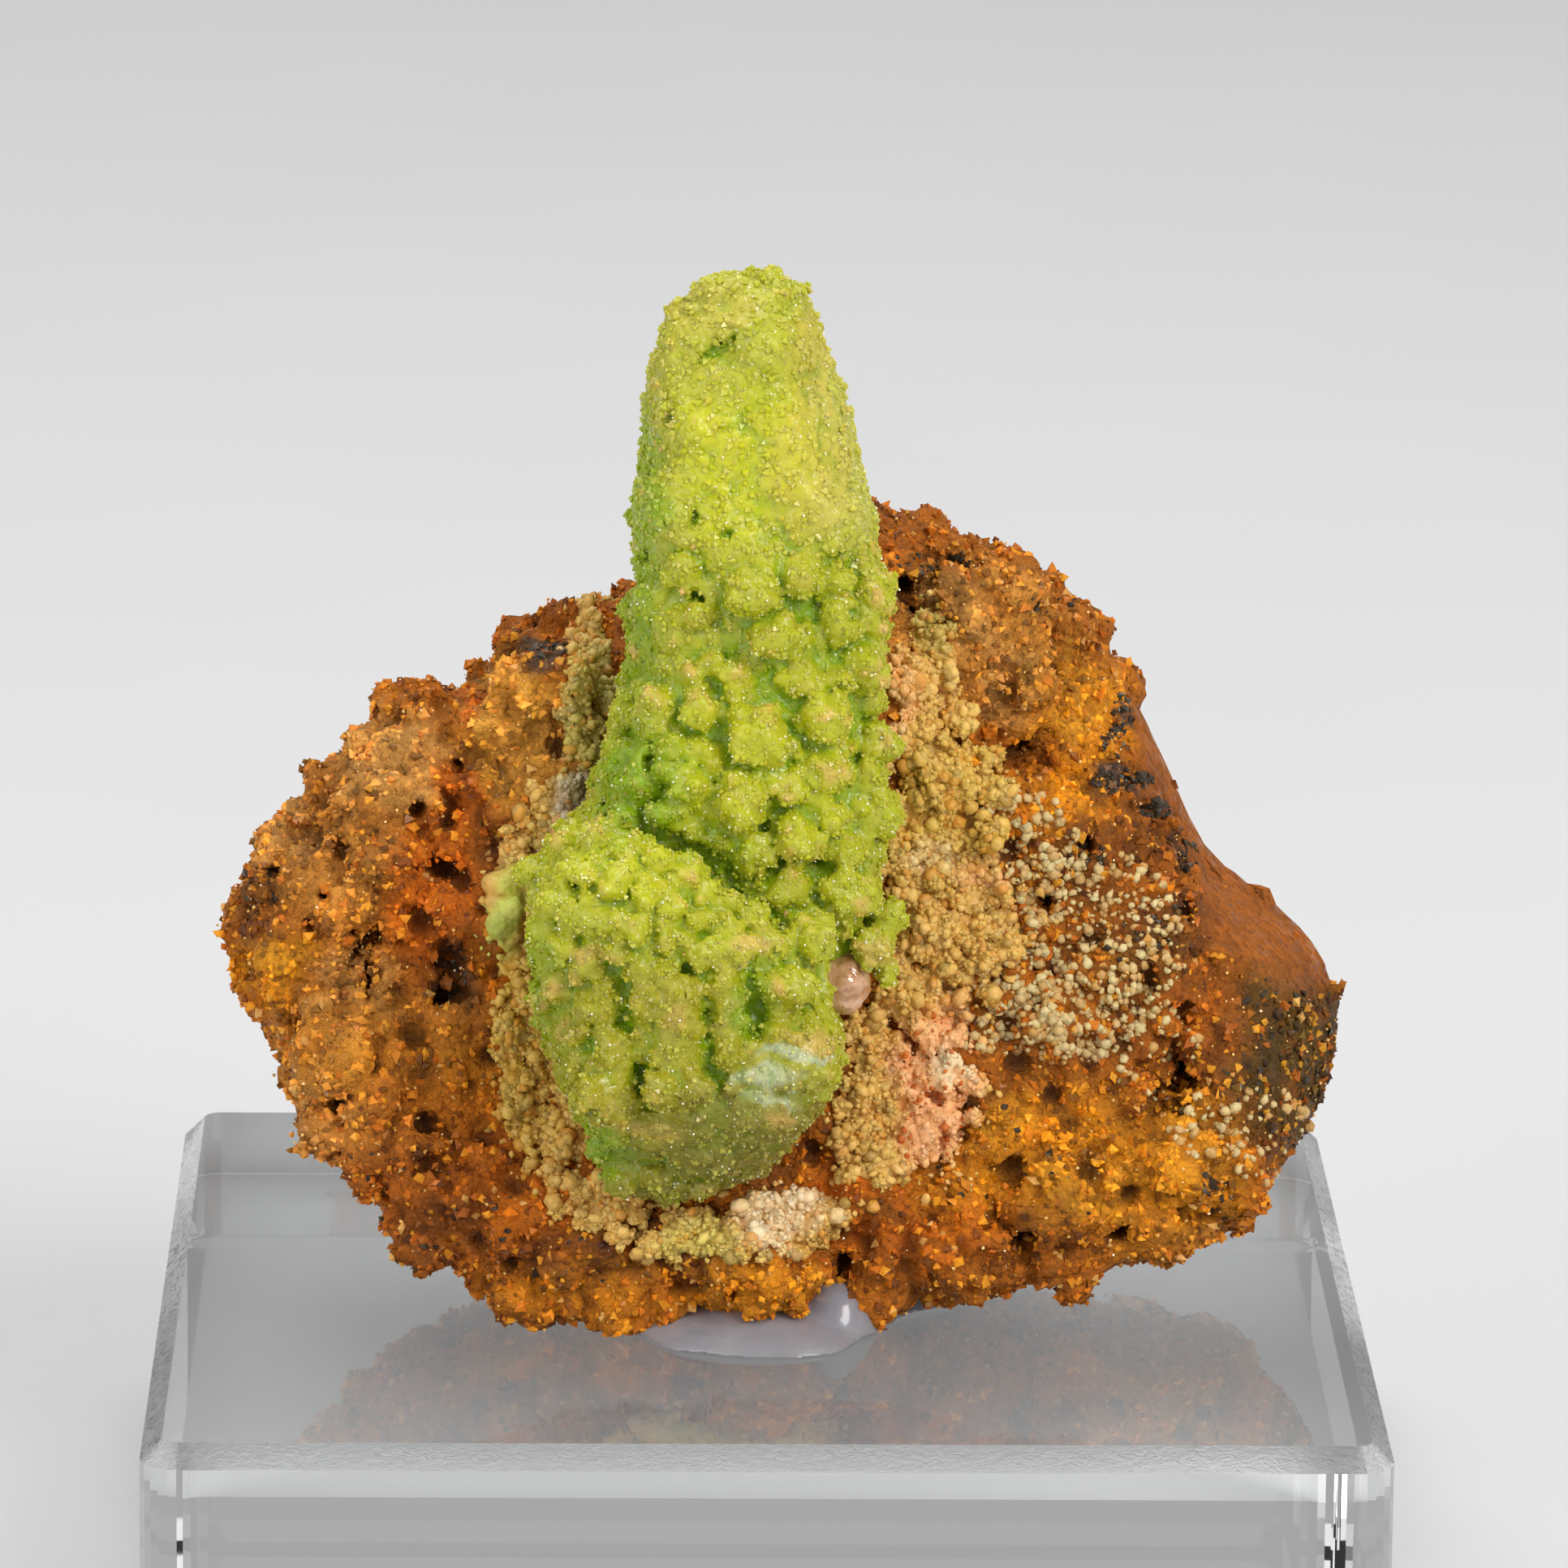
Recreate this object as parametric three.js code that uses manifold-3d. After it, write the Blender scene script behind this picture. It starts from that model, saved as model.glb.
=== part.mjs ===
// Phosphohedyphane with cerussite on iron-stained matrix, set with clear putty on a clear block.
// Millimetres, +Z up. The origin is the centre of the block's underside; the crystal faces -Y.

import * as THREE from 'three';
import { mergeVertices } from 'three/addons/utils/BufferGeometryUtils.js';
import Module from 'manifold-3d';

const wasm = await Module();
wasm.setup();

// Driving dimensions
const BLOCK_SIDE = 50.8;
const BLOCK_HEIGHT = 12.7;
const BLOCK_BEVEL = 0.9;
const BLOCK_CORNER = 1.6;
const CONTACT_GAP = 0.3;
const CRUST_THICKNESS = 0.9;

// The matrix leans back: its face stands at FACE_FOOT_Y at the foot
// and runs back by FACE_LEAN for each mm of height
const FACE_FOOT_Y = -9.4;
const FACE_LEAN = 0.22;
const ROCK_CENTRE_X = 1.0;
const ROCK_CENTRE_Z = 28.5;
const ROCK_BACK_Y = 12.5;
const ROCK_DETAIL = 10;

// Rim of the matrix seen from the front, clockwise from the top: x, z, and how far back the rim lies
const ROCK_RIM = [
  [-1.0, 43.6, 3.0],
  [4.6, 45.3, 4.0],
  [7.2, 44.4, 4.0],
  [10.2, 43.2, 4.5],
  [12.3, 41.8, 5.0],
  [14.0, 39.8, 5.5],
  [15.6, 37.8, 6.0],
  [17.3, 34.7, 6.0],
  [18.7, 31.8, 6.0],
  [19.6, 29.4, 6.0],
  [21.2, 29.0, 6.0],
  [23.5, 27.0, 5.0],
  [25.1, 25.3, 3.0],
  [24.9, 22.9, 2.0],
  [24.2, 20.3, 1.0],
  [23.0, 18.3, 0.0],
  [21.5, 16.3, -1.5],
  [19.0, 14.7, -4.0],
  [15.0, 14.3, -6.5],
  [11.0, 14.1, -8.0],
  [6.2, 14.0, -8.5],
  [2.6, 13.4, -9.2],
  [-2.4, 13.3, -9.5],
  [-7.0, 13.1, -9.2],
  [-10.4, 13.4, -8.5],
  [-12.9, 14.2, -8.0],
  [-15.6, 15.9, -6.5],
  [-17.4, 18.2, -5.0],
  [-18.8, 19.9, -3.5],
  [-20.1, 21.0, -2.5],
  [-20.0, 23.2, -2.0],
  [-21.4, 24.6, -2.0],
  [-22.1, 26.4, -1.5],
  [-22.9, 28.0, -1.0],
  [-22.1, 30.4, 0.0],
  [-21.3, 31.4, 0.5],
  [-19.4, 32.1, 1.0],
  [-18.7, 34.0, 1.0],
  [-16.7, 35.5, 1.5],
  [-16.2, 37.4, 1.5],
  [-15.0, 38.2, 1.5],
  [-13.7, 37.1, 1.5],
  [-12.0, 37.1, 1.0],
  [-10.9, 40.2, 1.0],
  [-8.0, 40.8, 1.5],
  [-5.5, 41.3, 2.0],
];

// Knobs and swellings on the matrix: x, z, radius
const ROCK_LUMPS = [
  [-9.8, 40.0, 1.3],
  [-7.4, 40.2, 1.3],
  [-15.0, 37.4, 1.6],
  [-13.3, 36.6, 1.4],
  [-15.9, 35.0, 1.7],
  [-18.0, 33.6, 1.7],
  [-20.2, 30.9, 1.7],
  [-21.4, 28.2, 1.5],
  [-20.3, 26.0, 1.9],
  [-18.4, 23.2, 2.1],
  [-16.4, 20.6, 1.9],
  [-13.4, 18.6, 1.8],
  [-17.4, 30.4, 1.8],
  [-14.9, 31.2, 1.5],
  [-8.6, 15.6, 2.0],
  [-5.0, 16.0, 1.8],
  [-0.4, 16.0, 2.6],
  [8.6, 16.8, 2.0],
  [12.9, 18.0, 2.0],
  [18.4, 19.2, 2.2],
  [14.8, 20.6, 1.8],
  [21.4, 27.6, 2.0],
  [11.6, 33.8, 2.0],
  [8.2, 41.6, 1.8],
  [10.9, 40.0, 1.8],
  [6.0, 19.0, 1.8],
];

// Pits and cracks in the matrix: x, z, half width, half height, depth, turn in degrees
const ROCK_PITS = [
  [-13.2, 27.6, 0.9, 1.9, 2.6, 0],
  [-16.7, 27.3, 0.4, 1.7, 1.8, 25],
  [5.9, 42.4, 0.9, 0.8, 1.6, 0],
  [10.8, 36.1, 1.2, 0.8, 1.6, 20],
  [17.2, 22.6, 0.9, 1.8, 2.2, -35],
  [10.9, 16.1, 1.1, 0.8, 1.6, 20],
];

// Sections up the steeple: height, left, right, front, back
const STEEPLE = [
  [26.2, -3.0, 3.2, -11.4, -5.0],
  [28.2, -5.5, 4.6, -12.6, -3.0],
  [31.0, -7.0, 5.0, -13.0, -2.0],
  [34.2, -8.2, 5.2, -13.2, -1.6],
  [37.0, -7.4, 5.2, -12.8, -1.2],
  [39.5, -6.4, 5.2, -12.3, -0.8],
  [43.0, -6.0, 5.1, -11.7, -0.6],
  [46.0, -5.7, 4.7, -11.2, -0.6],
  [48.5, -5.4, 4.0, -10.6, -1.0],
  [51.2, -5.2, 3.4, -10.0, -1.6],
  [53.6, -4.7, 2.6, -9.3, -2.1],
  [55.4, -4.3, 1.9, -8.6, -2.6],
  [56.4, -3.7, 1.5, -7.9, -3.2],
  [56.9, -2.6, 1.0, -6.9, -4.2],
];

// Sections up the lower lobe, which stands in front of the steeple's foot
const LOBE = [
  [18.2, -4.4, -1.4, -10.4, -7.4],
  [19.2, -6.4, -0.2, -12.0, -6.4],
  [20.8, -7.8, 1.6, -13.9, -5.0],
  [22.6, -8.6, 2.8, -15.2, -5.0],
  [24.6, -9.0, 3.7, -16.1, -5.0],
  [26.6, -9.9, 3.7, -16.6, -5.0],
  [29.0, -10.2, 3.1, -16.7, -5.0],
  [31.4, -10.3, 2.4, -16.2, -5.0],
  [33.4, -10.0, 0.8, -15.2, -5.0],
  [34.8, -9.2, -2.6, -13.6, -5.4],
  [35.6, -8.2, -5.4, -11.8, -6.6],
];
const SECTION_SQUARENESS = 2.6;
const STEEPLE_SIDES = 26;
const STEEPLE_LEVELS = 17;
const LOBE_SIDES = 24;
const LOBE_LEVELS = 12;

// Near-round pearls that stand out of the crystal: x, z, radius
const CRYSTAL_PEARLS = [
  [1.2, 34.8, 1.1],
  [3.3, 32.2, 1.5],
  [1.9, 30.9, 1.2],
  [0.9, 29.2, 1.3],
  [-1.2, 31.2, 1.2],
  [-3.6, 31.4, 1.3],
  [-5.9, 31.0, 1.3],
  [-7.2, 28.8, 1.4],
  [-8.7, 31.6, 1.4],
  [-8.0, 25.4, 1.2],
  [-7.4, 22.6, 1.2],
  [4.2, 45.3, 1.1],
  [4.2, 41.1, 1.3],
  [4.4, 37.7, 1.2],
  [4.3, 35.4, 1.2],
  [2.2, 39.0, 1.3],
  [0.0, 38.3, 1.6],
  [2.1, 36.7, 1.3],
  [-1.5, 36.0, 1.3],
  [-3.8, 36.4, 1.4],
  [-2.5, 40.6, 1.3],
  [-4.6, 39.2, 1.4],
  [-6.3, 37.0, 1.3],
  [1.2, 42.8, 1.5],
  [-4.4, 43.6, 1.3],
];

// Lower swellings on the crystal's skin: x, z, radius
const CRYSTAL_SWELLINGS = [
  [4.3, 30.2, 1.4],
  [-6.8, 33.4, 2.2],
  [-3.6, 33.2, 1.8],
  [-6.4, 20.8, 1.4],
  [-3.0, 19.4, 1.5],
  [4.0, 43.3, 1.6],
  [-1.2, 45.4, 2.0],
  [2.2, 47.4, 1.8],
  [-3.6, 47.6, 1.8],
  [0.4, 50.4, 1.8],
  [-3.2, 51.6, 1.6],
  [-0.4, 54.2, 1.8],
];

// Hanging fingers on the lobe: x, top, bottom, radius
const CRYSTAL_FINGERS = [
  [-1.5, 30.0, 25.4, 1.0],
  [-3.9, 29.8, 24.4, 1.4],
  [-6.3, 27.8, 23.4, 1.3],
];

// Hollows in the crystal: x, z, half width, half height, depth, turn in degrees
const CRYSTAL_PITS = [
  [-2.2, 54.4, 1.0, 0.35, 0.9, 30],
  [-4.1, 51.3, 0.5, 0.6, 0.6, 0],
];

// Cerussite knob on the lower right of the crystal
const CERUSSITE_CENTRE = [3.55, -12.7, 28.5];
const CERUSSITE_RADII = [0.95, 0.9, 1.15];

// Outline of the pale crust that rings the crystal's foot: x, z
const CRUST_OUTLINE = [
  [-7.6, 41.0],
  [-5.0, 41.4],
  [-5.0, 36.0],
  [-8.0, 30.0],
  [-6.0, 23.0],
  [0.0, 21.5],
  [4.0, 27.0],
  [4.4, 41.0],
  [6.6, 41.2],
  [7.6, 38.0],
  [9.4, 35.0],
  [10.8, 31.0],
  [12.6, 28.0],
  [11.4, 24.6],
  [8.2, 24.0],
  [7.4, 20.2],
  [4.0, 19.8],
  [3.4, 17.6],
  [-3.0, 16.6],
  [-6.4, 18.6],
  [-10.6, 21.0],
  [-12.2, 25.4],
  [-12.6, 30.0],
  [-11.6, 33.4],
  [-8.8, 35.6],
];

// Putty squeezed between block and matrix: centre, radii and fineness of its flat lip, core and bulge
const PUTTY_LUMPS = [
  [[0.2, -3.2, BLOCK_HEIGHT], [8.8, 9.8, 1.6], 2],
  [[1.2, -0.6, BLOCK_HEIGHT], [7.4, 7.2, 3.4], 1],
  [[3.8, -9.2, BLOCK_HEIGHT + 0.3], [2.6, 2.8, 2.5], 1],
];

// Colours, roughness and metalness
const CLEAR = { color: 0xdfe6ea, roughness: 0.05, metalness: 0, transparent: true, opacity: 0.35 };
const PUTTY = { color: 0xb9bcc8, roughness: 0.25, metalness: 0, transparent: true, opacity: 0.7 };
const LIMONITE = { color: 0xa8611c, roughness: 0.9, metalness: 0 };
const LIME_GREEN = { color: 0xa9c23a, roughness: 0.55, metalness: 0 };
const CREAM = { color: 0xc9b070, roughness: 0.75, metalness: 0 };
const PINK_GLASS = { color: 0xc3a58c, roughness: 0.3, metalness: 0 };

// Repeatable value between 0 and 1 for a whole number
function chance(index) {
  const wave = Math.sin(index * 127.1 + 311.7) * 43758.5453;
  return wave - Math.floor(wave);
}

// Smooth noise between -1 and 1 with one swell per unit of length
function noise(x, y, z) {
  const corner = [Math.floor(x), Math.floor(y), Math.floor(z)];
  const part = [x - corner[0], y - corner[1], z - corner[2]];
  const ease = part.map((t) => t * t * (3 - 2 * t));
  let sum = 0;
  for (let n = 0; n < 8; n += 1) {
    const step = [n & 1, (n >> 1) & 1, (n >> 2) & 1];
    const weight = step.reduce((w, s, k) => w * (s ? ease[k] : 1 - ease[k]), 1);
    const key = (corner[0] + step[0]) * 17 + (corner[1] + step[1]) * 59 + (corner[2] + step[2]) * 131;
    sum += weight * (2 * chance(key) - 1);
  }
  return sum;
}

// Value at t on a list of rows whose first number is the place and column k the value
function alongRows(rows, place, k) {
  let upper = rows.findIndex((row) => row[0] >= place);
  if (upper <= 0) {
    upper = upper < 0 ? rows.length - 1 : 1;
  }
  const low = rows[upper - 1];
  const high = rows[upper];
  const t = THREE.MathUtils.clamp((place - low[0]) / (high[0] - low[0]), 0, 1);
  return THREE.MathUtils.lerp(low[k], high[k], t);
}

// Turns a three.js geometry into a solid that can be joined and cut
function solid(geometry) {
  geometry.deleteAttribute('normal');
  geometry.deleteAttribute('uv');
  const merged = mergeVertices(geometry, 1e-4);
  const mesh = new wasm.Mesh({
    numProp: 3,
    vertProperties: new Float32Array(merged.attributes.position.array),
    triVerts: new Uint32Array(merged.index.array),
  });
  return new wasm.Manifold(mesh);
}

// Turns a solid back into a named mesh
function meshOf(name, body, finish) {
  const data = body.getMesh();
  const geometry = new THREE.BufferGeometry();
  geometry.setAttribute('position', new THREE.BufferAttribute(new Float32Array(data.vertProperties), 3));
  geometry.setIndex(new THREE.BufferAttribute(new Uint32Array(data.triVerts), 1));
  geometry.computeVertexNormals();
  const mesh = new THREE.Mesh(geometry, new THREE.MeshStandardMaterial(finish));
  mesh.name = name;
  return mesh;
}

// Moves every vertex of a geometry by a rule
function reshape(geometry, rule) {
  const place = geometry.attributes.position;
  const point = new THREE.Vector3();
  for (let i = 0; i < place.count; i += 1) {
    point.fromBufferAttribute(place, i);
    rule(point);
    place.setXYZ(i, point.x, point.y, point.z);
  }
  return geometry;
}

// Unit ball of even triangles with its vertices merged
function evenBall(detail) {
  const ball = new THREE.IcosahedronGeometry(1, detail);
  ball.deleteAttribute('normal');
  ball.deleteAttribute('uv');
  return mergeVertices(ball);
}

// Knobbly ball with its own radii, turned about Y
function blob(centre, radii, turn = 0, detail = 1, wobble = 0.06) {
  const ball = evenBall(detail);
  reshape(ball, (p) => {
    const swell = 1 + wobble * noise(2 * p.x + centre[0], 2 * p.y + centre[1], 2 * p.z + centre[2]);
    p.multiplyScalar(swell);
    p.multiply(new THREE.Vector3(...radii));
    p.applyAxisAngle(new THREE.Vector3(0, 1, 0), THREE.MathUtils.degToRad(turn));
    p.add(new THREE.Vector3(...centre));
  });
  return solid(ball);
}

// Distance from the middle of the matrix to its rim at an angle, and how far back the rim lies there
function rimRows() {
  const rows = ROCK_RIM.map(([x, z, back]) => {
    const dx = x - ROCK_CENTRE_X;
    const dz = z - ROCK_CENTRE_Z;
    return [Math.atan2(dz, dx), Math.hypot(dx, dz), back];
  });
  rows.sort((a, b) => a[0] - b[0]);
  const first = rows[0];
  const last = rows[rows.length - 1];
  const before = [last[0] - 2 * Math.PI, last[1], last[2]];
  const after = [first[0] + 2 * Math.PI, first[1], first[2]];
  return [before, ...rows, after];
}
const RIM = rimRows();

// Plane of the matrix's face
function facePlane(z) {
  return FACE_FOOT_Y + FACE_LEAN * (z - BLOCK_HEIGHT);
}

// Raised druse plate on the upper left, flat on top with a steep edge
function drusePlate(x, z) {
  const across = (x + 10.2) / 2.7;
  const up = (z - 36.6) / 3.3;
  const reach = Math.hypot(across, up);
  return 1.3 * THREE.MathUtils.smoothstep(1.25 - reach, 0, 0.4);
}

// Height of the highest of a list of round knobs at a place
function knobs(list, x, z) {
  const heights = list.map(([cx, cz, radius]) => radius ** 2 - (x - cx) ** 2 - (z - cz) ** 2);
  return Math.sqrt(Math.max(0, ...heights));
}

// Relief of the front of the matrix, positive towards the viewer
function frontRelief(x, z) {
  const swells = 1.1 * noise(x / 5.5, 3, z / 5.5) + 0.9 * noise(x / 2.6, 7, z / 2.6);
  const hollowBelow = -1.6 * Math.exp(-(((x - 3.6) / 1.1) ** 2) - ((z - 15) / 2.2) ** 2);
  const rightShoulder = -0.12 * Math.max(0, x - 9);
  const farFacet = THREE.MathUtils.smoothstep(x, 17.5, 19.5) * THREE.MathUtils.smoothstep(29 - z, 0, 3);
  const raised = 0.9 * farFacet + drusePlate(x, z) + 0.9 * knobs(ROCK_LUMPS, x, z);
  return swells + hollowBelow + rightShoulder + raised;
}

// Relief of the back of the matrix: broken faces
function backRelief(x, z) {
  const steps = 1.5 * noise(x / 9, 11, z / 9) + 0.7 * noise(x / 3.4, 13, z / 3.4);
  const tapers = -0.16 * Math.abs(x + 2) - 0.26 * Math.max(0, z - 30);
  return steps + tapers;
}

// Front and rear surface of the matrix at a place, before lumps and pits
function rockDepth(x, z, spread, towardFront) {
  const rimBack = alongRows(RIM, Math.atan2(z - ROCK_CENTRE_Z, x - ROCK_CENTRE_X), 2);
  const front = facePlane(z) - frontRelief(x, z);
  const back = ROCK_BACK_Y + backRelief(x, z);
  const fill = (1 - Math.min(1, spread) ** 7) ** (1 / 2);
  return THREE.MathUtils.lerp(rimBack, towardFront ? front : back, fill);
}

// Matrix without its pits; grow moves its skin outward by a length or by a rule of place
function rock(grow) {
  const ball = evenBall(ROCK_DETAIL);
  reshape(ball, (p) => {
    const spread = Math.min(1, Math.hypot(p.x, p.z)) ** 0.62;
    const angle = Math.atan2(p.z, p.x);
    const reach = spread * alongRows(RIM, angle, 1);
    const x = ROCK_CENTRE_X + reach * Math.cos(angle);
    const z = ROCK_CENTRE_Z + reach * Math.sin(angle);
    const skin = rockDepth(x, z, spread, p.y < 0);
    const out = typeof grow === 'function' ? grow(x, z) : grow;
    const sideways = out * spread ** 6;
    const outward = Math.sign(p.y) * out * Math.sqrt(1 - spread ** 12) * 1.05;
    p.set(x + sideways * Math.cos(angle), skin + outward, z + sideways * Math.sin(angle));
  });
  return solid(ball);
}

// Front skin of the matrix at a place inside its rim
function rockFront(x, z) {
  const dx = x - ROCK_CENTRE_X;
  const dz = z - ROCK_CENTRE_Z;
  const spread = Math.hypot(dx, dz) / alongRows(RIM, Math.atan2(dz, dx), 1);
  return rockDepth(x, z, spread, true);
}

// Matrix as it is, with pits and cracks sunk
function matrix() {
  let body = rock(0);
  ROCK_PITS.forEach(([x, z, wide, high, deep, turn]) => {
    body = body.subtract(blob([x, rockFront(x, z), z], [wide, deep, high], turn));
  });
  return body;
}

// Pushes a point out along a direction until it clears a ball
function clearOf(point, away, [cx, cy, cz, radius]) {
  const to = new THREE.Vector3(cx, cy, cz).sub(point);
  const along = to.dot(away);
  const inside = radius ** 2 - to.lengthSq() + along ** 2;
  const step = inside > 0 ? along + Math.sqrt(inside) : 0;
  if (step > 0 && step < 2 * radius) {
    point.addScaledVector(away, step);
  }
}

// Solid through a list of sections, swollen over its balls; grow moves its skin outward
function sectionBody(rows, sides, levels, balls, grow) {
  const low = rows[0][0];
  const high = rows[rows.length - 1][0];
  const profile = [new THREE.Vector2(0, low - 0.3 - grow)];
  for (let n = 0; n <= levels; n += 1) {
    profile.push(new THREE.Vector2(1, THREE.MathUtils.lerp(low, high, n / levels)));
  }
  profile.push(new THREE.Vector2(0, high + 0.2 + grow));
  const turned = new THREE.LatheGeometry(profile, sides);
  reshape(turned, (p) => {
    const height = p.y;
    const angle = Math.atan2(p.z, p.x);
    const inside = Math.hypot(p.x, p.z);
    const level = THREE.MathUtils.clamp(height, low, high);
    const [left, right, front, back] = [1, 2, 3, 4].map((k) => alongRows(rows, level, k));
    const power = 2 / SECTION_SQUARENESS;
    const across = inside * Math.sign(Math.cos(angle)) * Math.abs(Math.cos(angle)) ** power;
    const deep = inside * Math.sign(Math.sin(angle)) * Math.abs(Math.sin(angle)) ** power;
    const ripple = inside * 0.22 * noise(3 * across + 9, 3 * deep + 5, height / 1.3);
    const x = (left + right) / 2 + across * ((right - left) / 2 + grow + ripple);
    const y = (front + back) / 2 - deep * ((back - front) / 2 + grow + ripple);
    p.set(x, y, height);
    const away = new THREE.Vector3(across, -deep, 0).normalize();
    balls.forEach((ball) => inside > 0.5 && clearOf(p, away, ball));
  });
  return solid(turned);
}

// Front skin of a section body at a place
function sectionFront(rows, x, z) {
  const [left, right, front, back] = [1, 2, 3, 4].map((k) => alongRows(rows, z, k));
  const across = Math.abs(x - (left + right) / 2) / ((right - left) / 2);
  if (across >= 1 || z < rows[0][0] || z > rows[rows.length - 1][0]) {
    return Infinity;
  }
  const deep = (1 - across ** SECTION_SQUARENESS) ** (1 / SECTION_SQUARENESS);
  return (front + back) / 2 - (deep * (back - front)) / 2;
}

// Front skin of the whole crystal at a place
function crystalFront(x, z) {
  return Math.min(sectionFront(STEEPLE, x, z), sectionFront(LOBE, x, z), -6);
}

// Crystal before its neighbours are cut away; grow moves its skin outward
function crystal(grow) {
  const balls = CRYSTAL_SWELLINGS.map(([x, z, radius]) => {
    const y = crystalFront(x, z) + 0.4 * radius;
    return [x, y, z, radius + grow];
  });
  let body = sectionBody(STEEPLE, STEEPLE_SIDES, STEEPLE_LEVELS, balls, grow);
  body = body.add(sectionBody(LOBE, LOBE_SIDES, LOBE_LEVELS, balls, grow));
  CRYSTAL_PEARLS.forEach(([x, z, radius]) => {
    const size = radius + grow;
    body = body.add(blob([x, crystalFront(x, z) + 0.25 * radius, z], [size, size, size]));
  });
  CRYSTAL_FINGERS.forEach(([x, top, bottom, radius]) => {
    const middle = (top + bottom) / 2;
    const reach = (top - bottom) / 2 + grow;
    const size = radius + grow;
    body = body.add(blob([x, crystalFront(x, middle) + 0.2 * radius, middle], [size, size, reach]));
  });
  return body;
}

// Steeple and lobe grown together, standing clear of the matrix by the contact gap
function phosphohedyphane() {
  let body = crystal(0).subtract(rock(CONTACT_GAP));
  CRYSTAL_PITS.forEach(([x, z, wide, high, deep, turn]) => {
    body = body.subtract(blob([x, crystalFront(x, z), z], [wide, deep, high], turn));
  });
  return body;
}

// Largest connected piece of a solid
function largestPiece(body) {
  const pieces = body.decompose();
  pieces.sort((a, b) => b.volume() - a.volume());
  return pieces[0];
}

// Height of the crust's own lumps at a place
function crustLumps(x, z) {
  return CONTACT_GAP + CRUST_THICKNESS + 0.5 * noise(x / 1.5, 21, z / 1.5);
}

// Pale crust: a thin lumpy skin over the matrix inside its outline
function paleCrust() {
  const outline = new THREE.Shape(CRUST_OUTLINE.map(([x, z]) => new THREE.Vector2(x, z)));
  const cutter = new THREE.ExtrudeGeometry(outline, { depth: 16, bevelEnabled: false });
  cutter.rotateX(Math.PI / 2);
  cutter.translate(0, 2, 0);
  const skin = solid(cutter).intersect(rock(crustLumps));
  return largestPiece(skin.subtract(rock(CONTACT_GAP)).subtract(crystal(CONTACT_GAP)));
}

// Translucent cerussite knob held against the crystal
function cerussiteKnob() {
  const knob = blob(CERUSSITE_CENTRE, CERUSSITE_RADII, 0, 1, 0.2);
  return largestPiece(knob.subtract(crystal(CONTACT_GAP)).subtract(rock(CONTACT_GAP)));
}

// Putty squeezed between block and matrix
function puttyPad() {
  const lumps = PUTTY_LUMPS.map(([centre, radii, detail]) => blob(centre, radii, 0, detail, 0.08));
  const under = new THREE.BoxGeometry(2 * BLOCK_SIDE, 2 * BLOCK_SIDE, BLOCK_HEIGHT);
  under.translate(0, 0, BLOCK_HEIGHT / 2 + CONTACT_GAP);
  const pad = lumps.reduce((sum, lump) => sum.add(lump));
  return largestPiece(pad.subtract(rock(CONTACT_GAP)).subtract(solid(under)));
}

// Square block with rounded upright corners and a bevel round its top
function clearBlock() {
  const half = BLOCK_SIDE / 2 - BLOCK_BEVEL;
  const corner = BLOCK_CORNER - BLOCK_BEVEL;
  const plan = new THREE.Shape();
  plan.absarc(half - corner, half - corner, corner, 0, Math.PI / 2);
  plan.absarc(corner - half, half - corner, corner, Math.PI / 2, Math.PI);
  plan.absarc(corner - half, corner - half, corner, Math.PI, 1.5 * Math.PI);
  plan.absarc(half - corner, corner - half, corner, 1.5 * Math.PI, 2 * Math.PI);
  const slab = new THREE.ExtrudeGeometry(plan, {
    depth: BLOCK_HEIGHT,
    bevelEnabled: true,
    bevelThickness: BLOCK_BEVEL,
    bevelSize: BLOCK_BEVEL,
    bevelSegments: 1,
    curveSegments: 3,
  });
  slab.translate(0, 0, -BLOCK_BEVEL);
  const below = new THREE.BoxGeometry(2 * BLOCK_SIDE, 2 * BLOCK_SIDE, BLOCK_HEIGHT);
  below.translate(0, 0, -BLOCK_HEIGHT / 2);
  return solid(slab).subtract(solid(below));
}

const specimen = new THREE.Group();
specimen.add(meshOf('acrylic_block', clearBlock(), CLEAR));
specimen.add(meshOf('mounting_putty', puttyPad(), PUTTY));
specimen.add(meshOf('limonite_matrix', matrix(), LIMONITE));
specimen.add(meshOf('phosphohedyphane_crystal', phosphohedyphane(), LIME_GREEN));
specimen.add(meshOf('pale_crust', paleCrust(), CREAM));
specimen.add(meshOf('cerussite_knob', cerussiteKnob(), PINK_GLASS));

export default specimen;
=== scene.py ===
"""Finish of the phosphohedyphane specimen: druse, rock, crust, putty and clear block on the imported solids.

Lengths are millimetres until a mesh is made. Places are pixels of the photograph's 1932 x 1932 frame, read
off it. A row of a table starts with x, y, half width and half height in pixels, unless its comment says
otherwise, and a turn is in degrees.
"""

import math

import bmesh
import bpy
import numpy as np
import openvdb
from mathutils import Matrix, Vector


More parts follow.
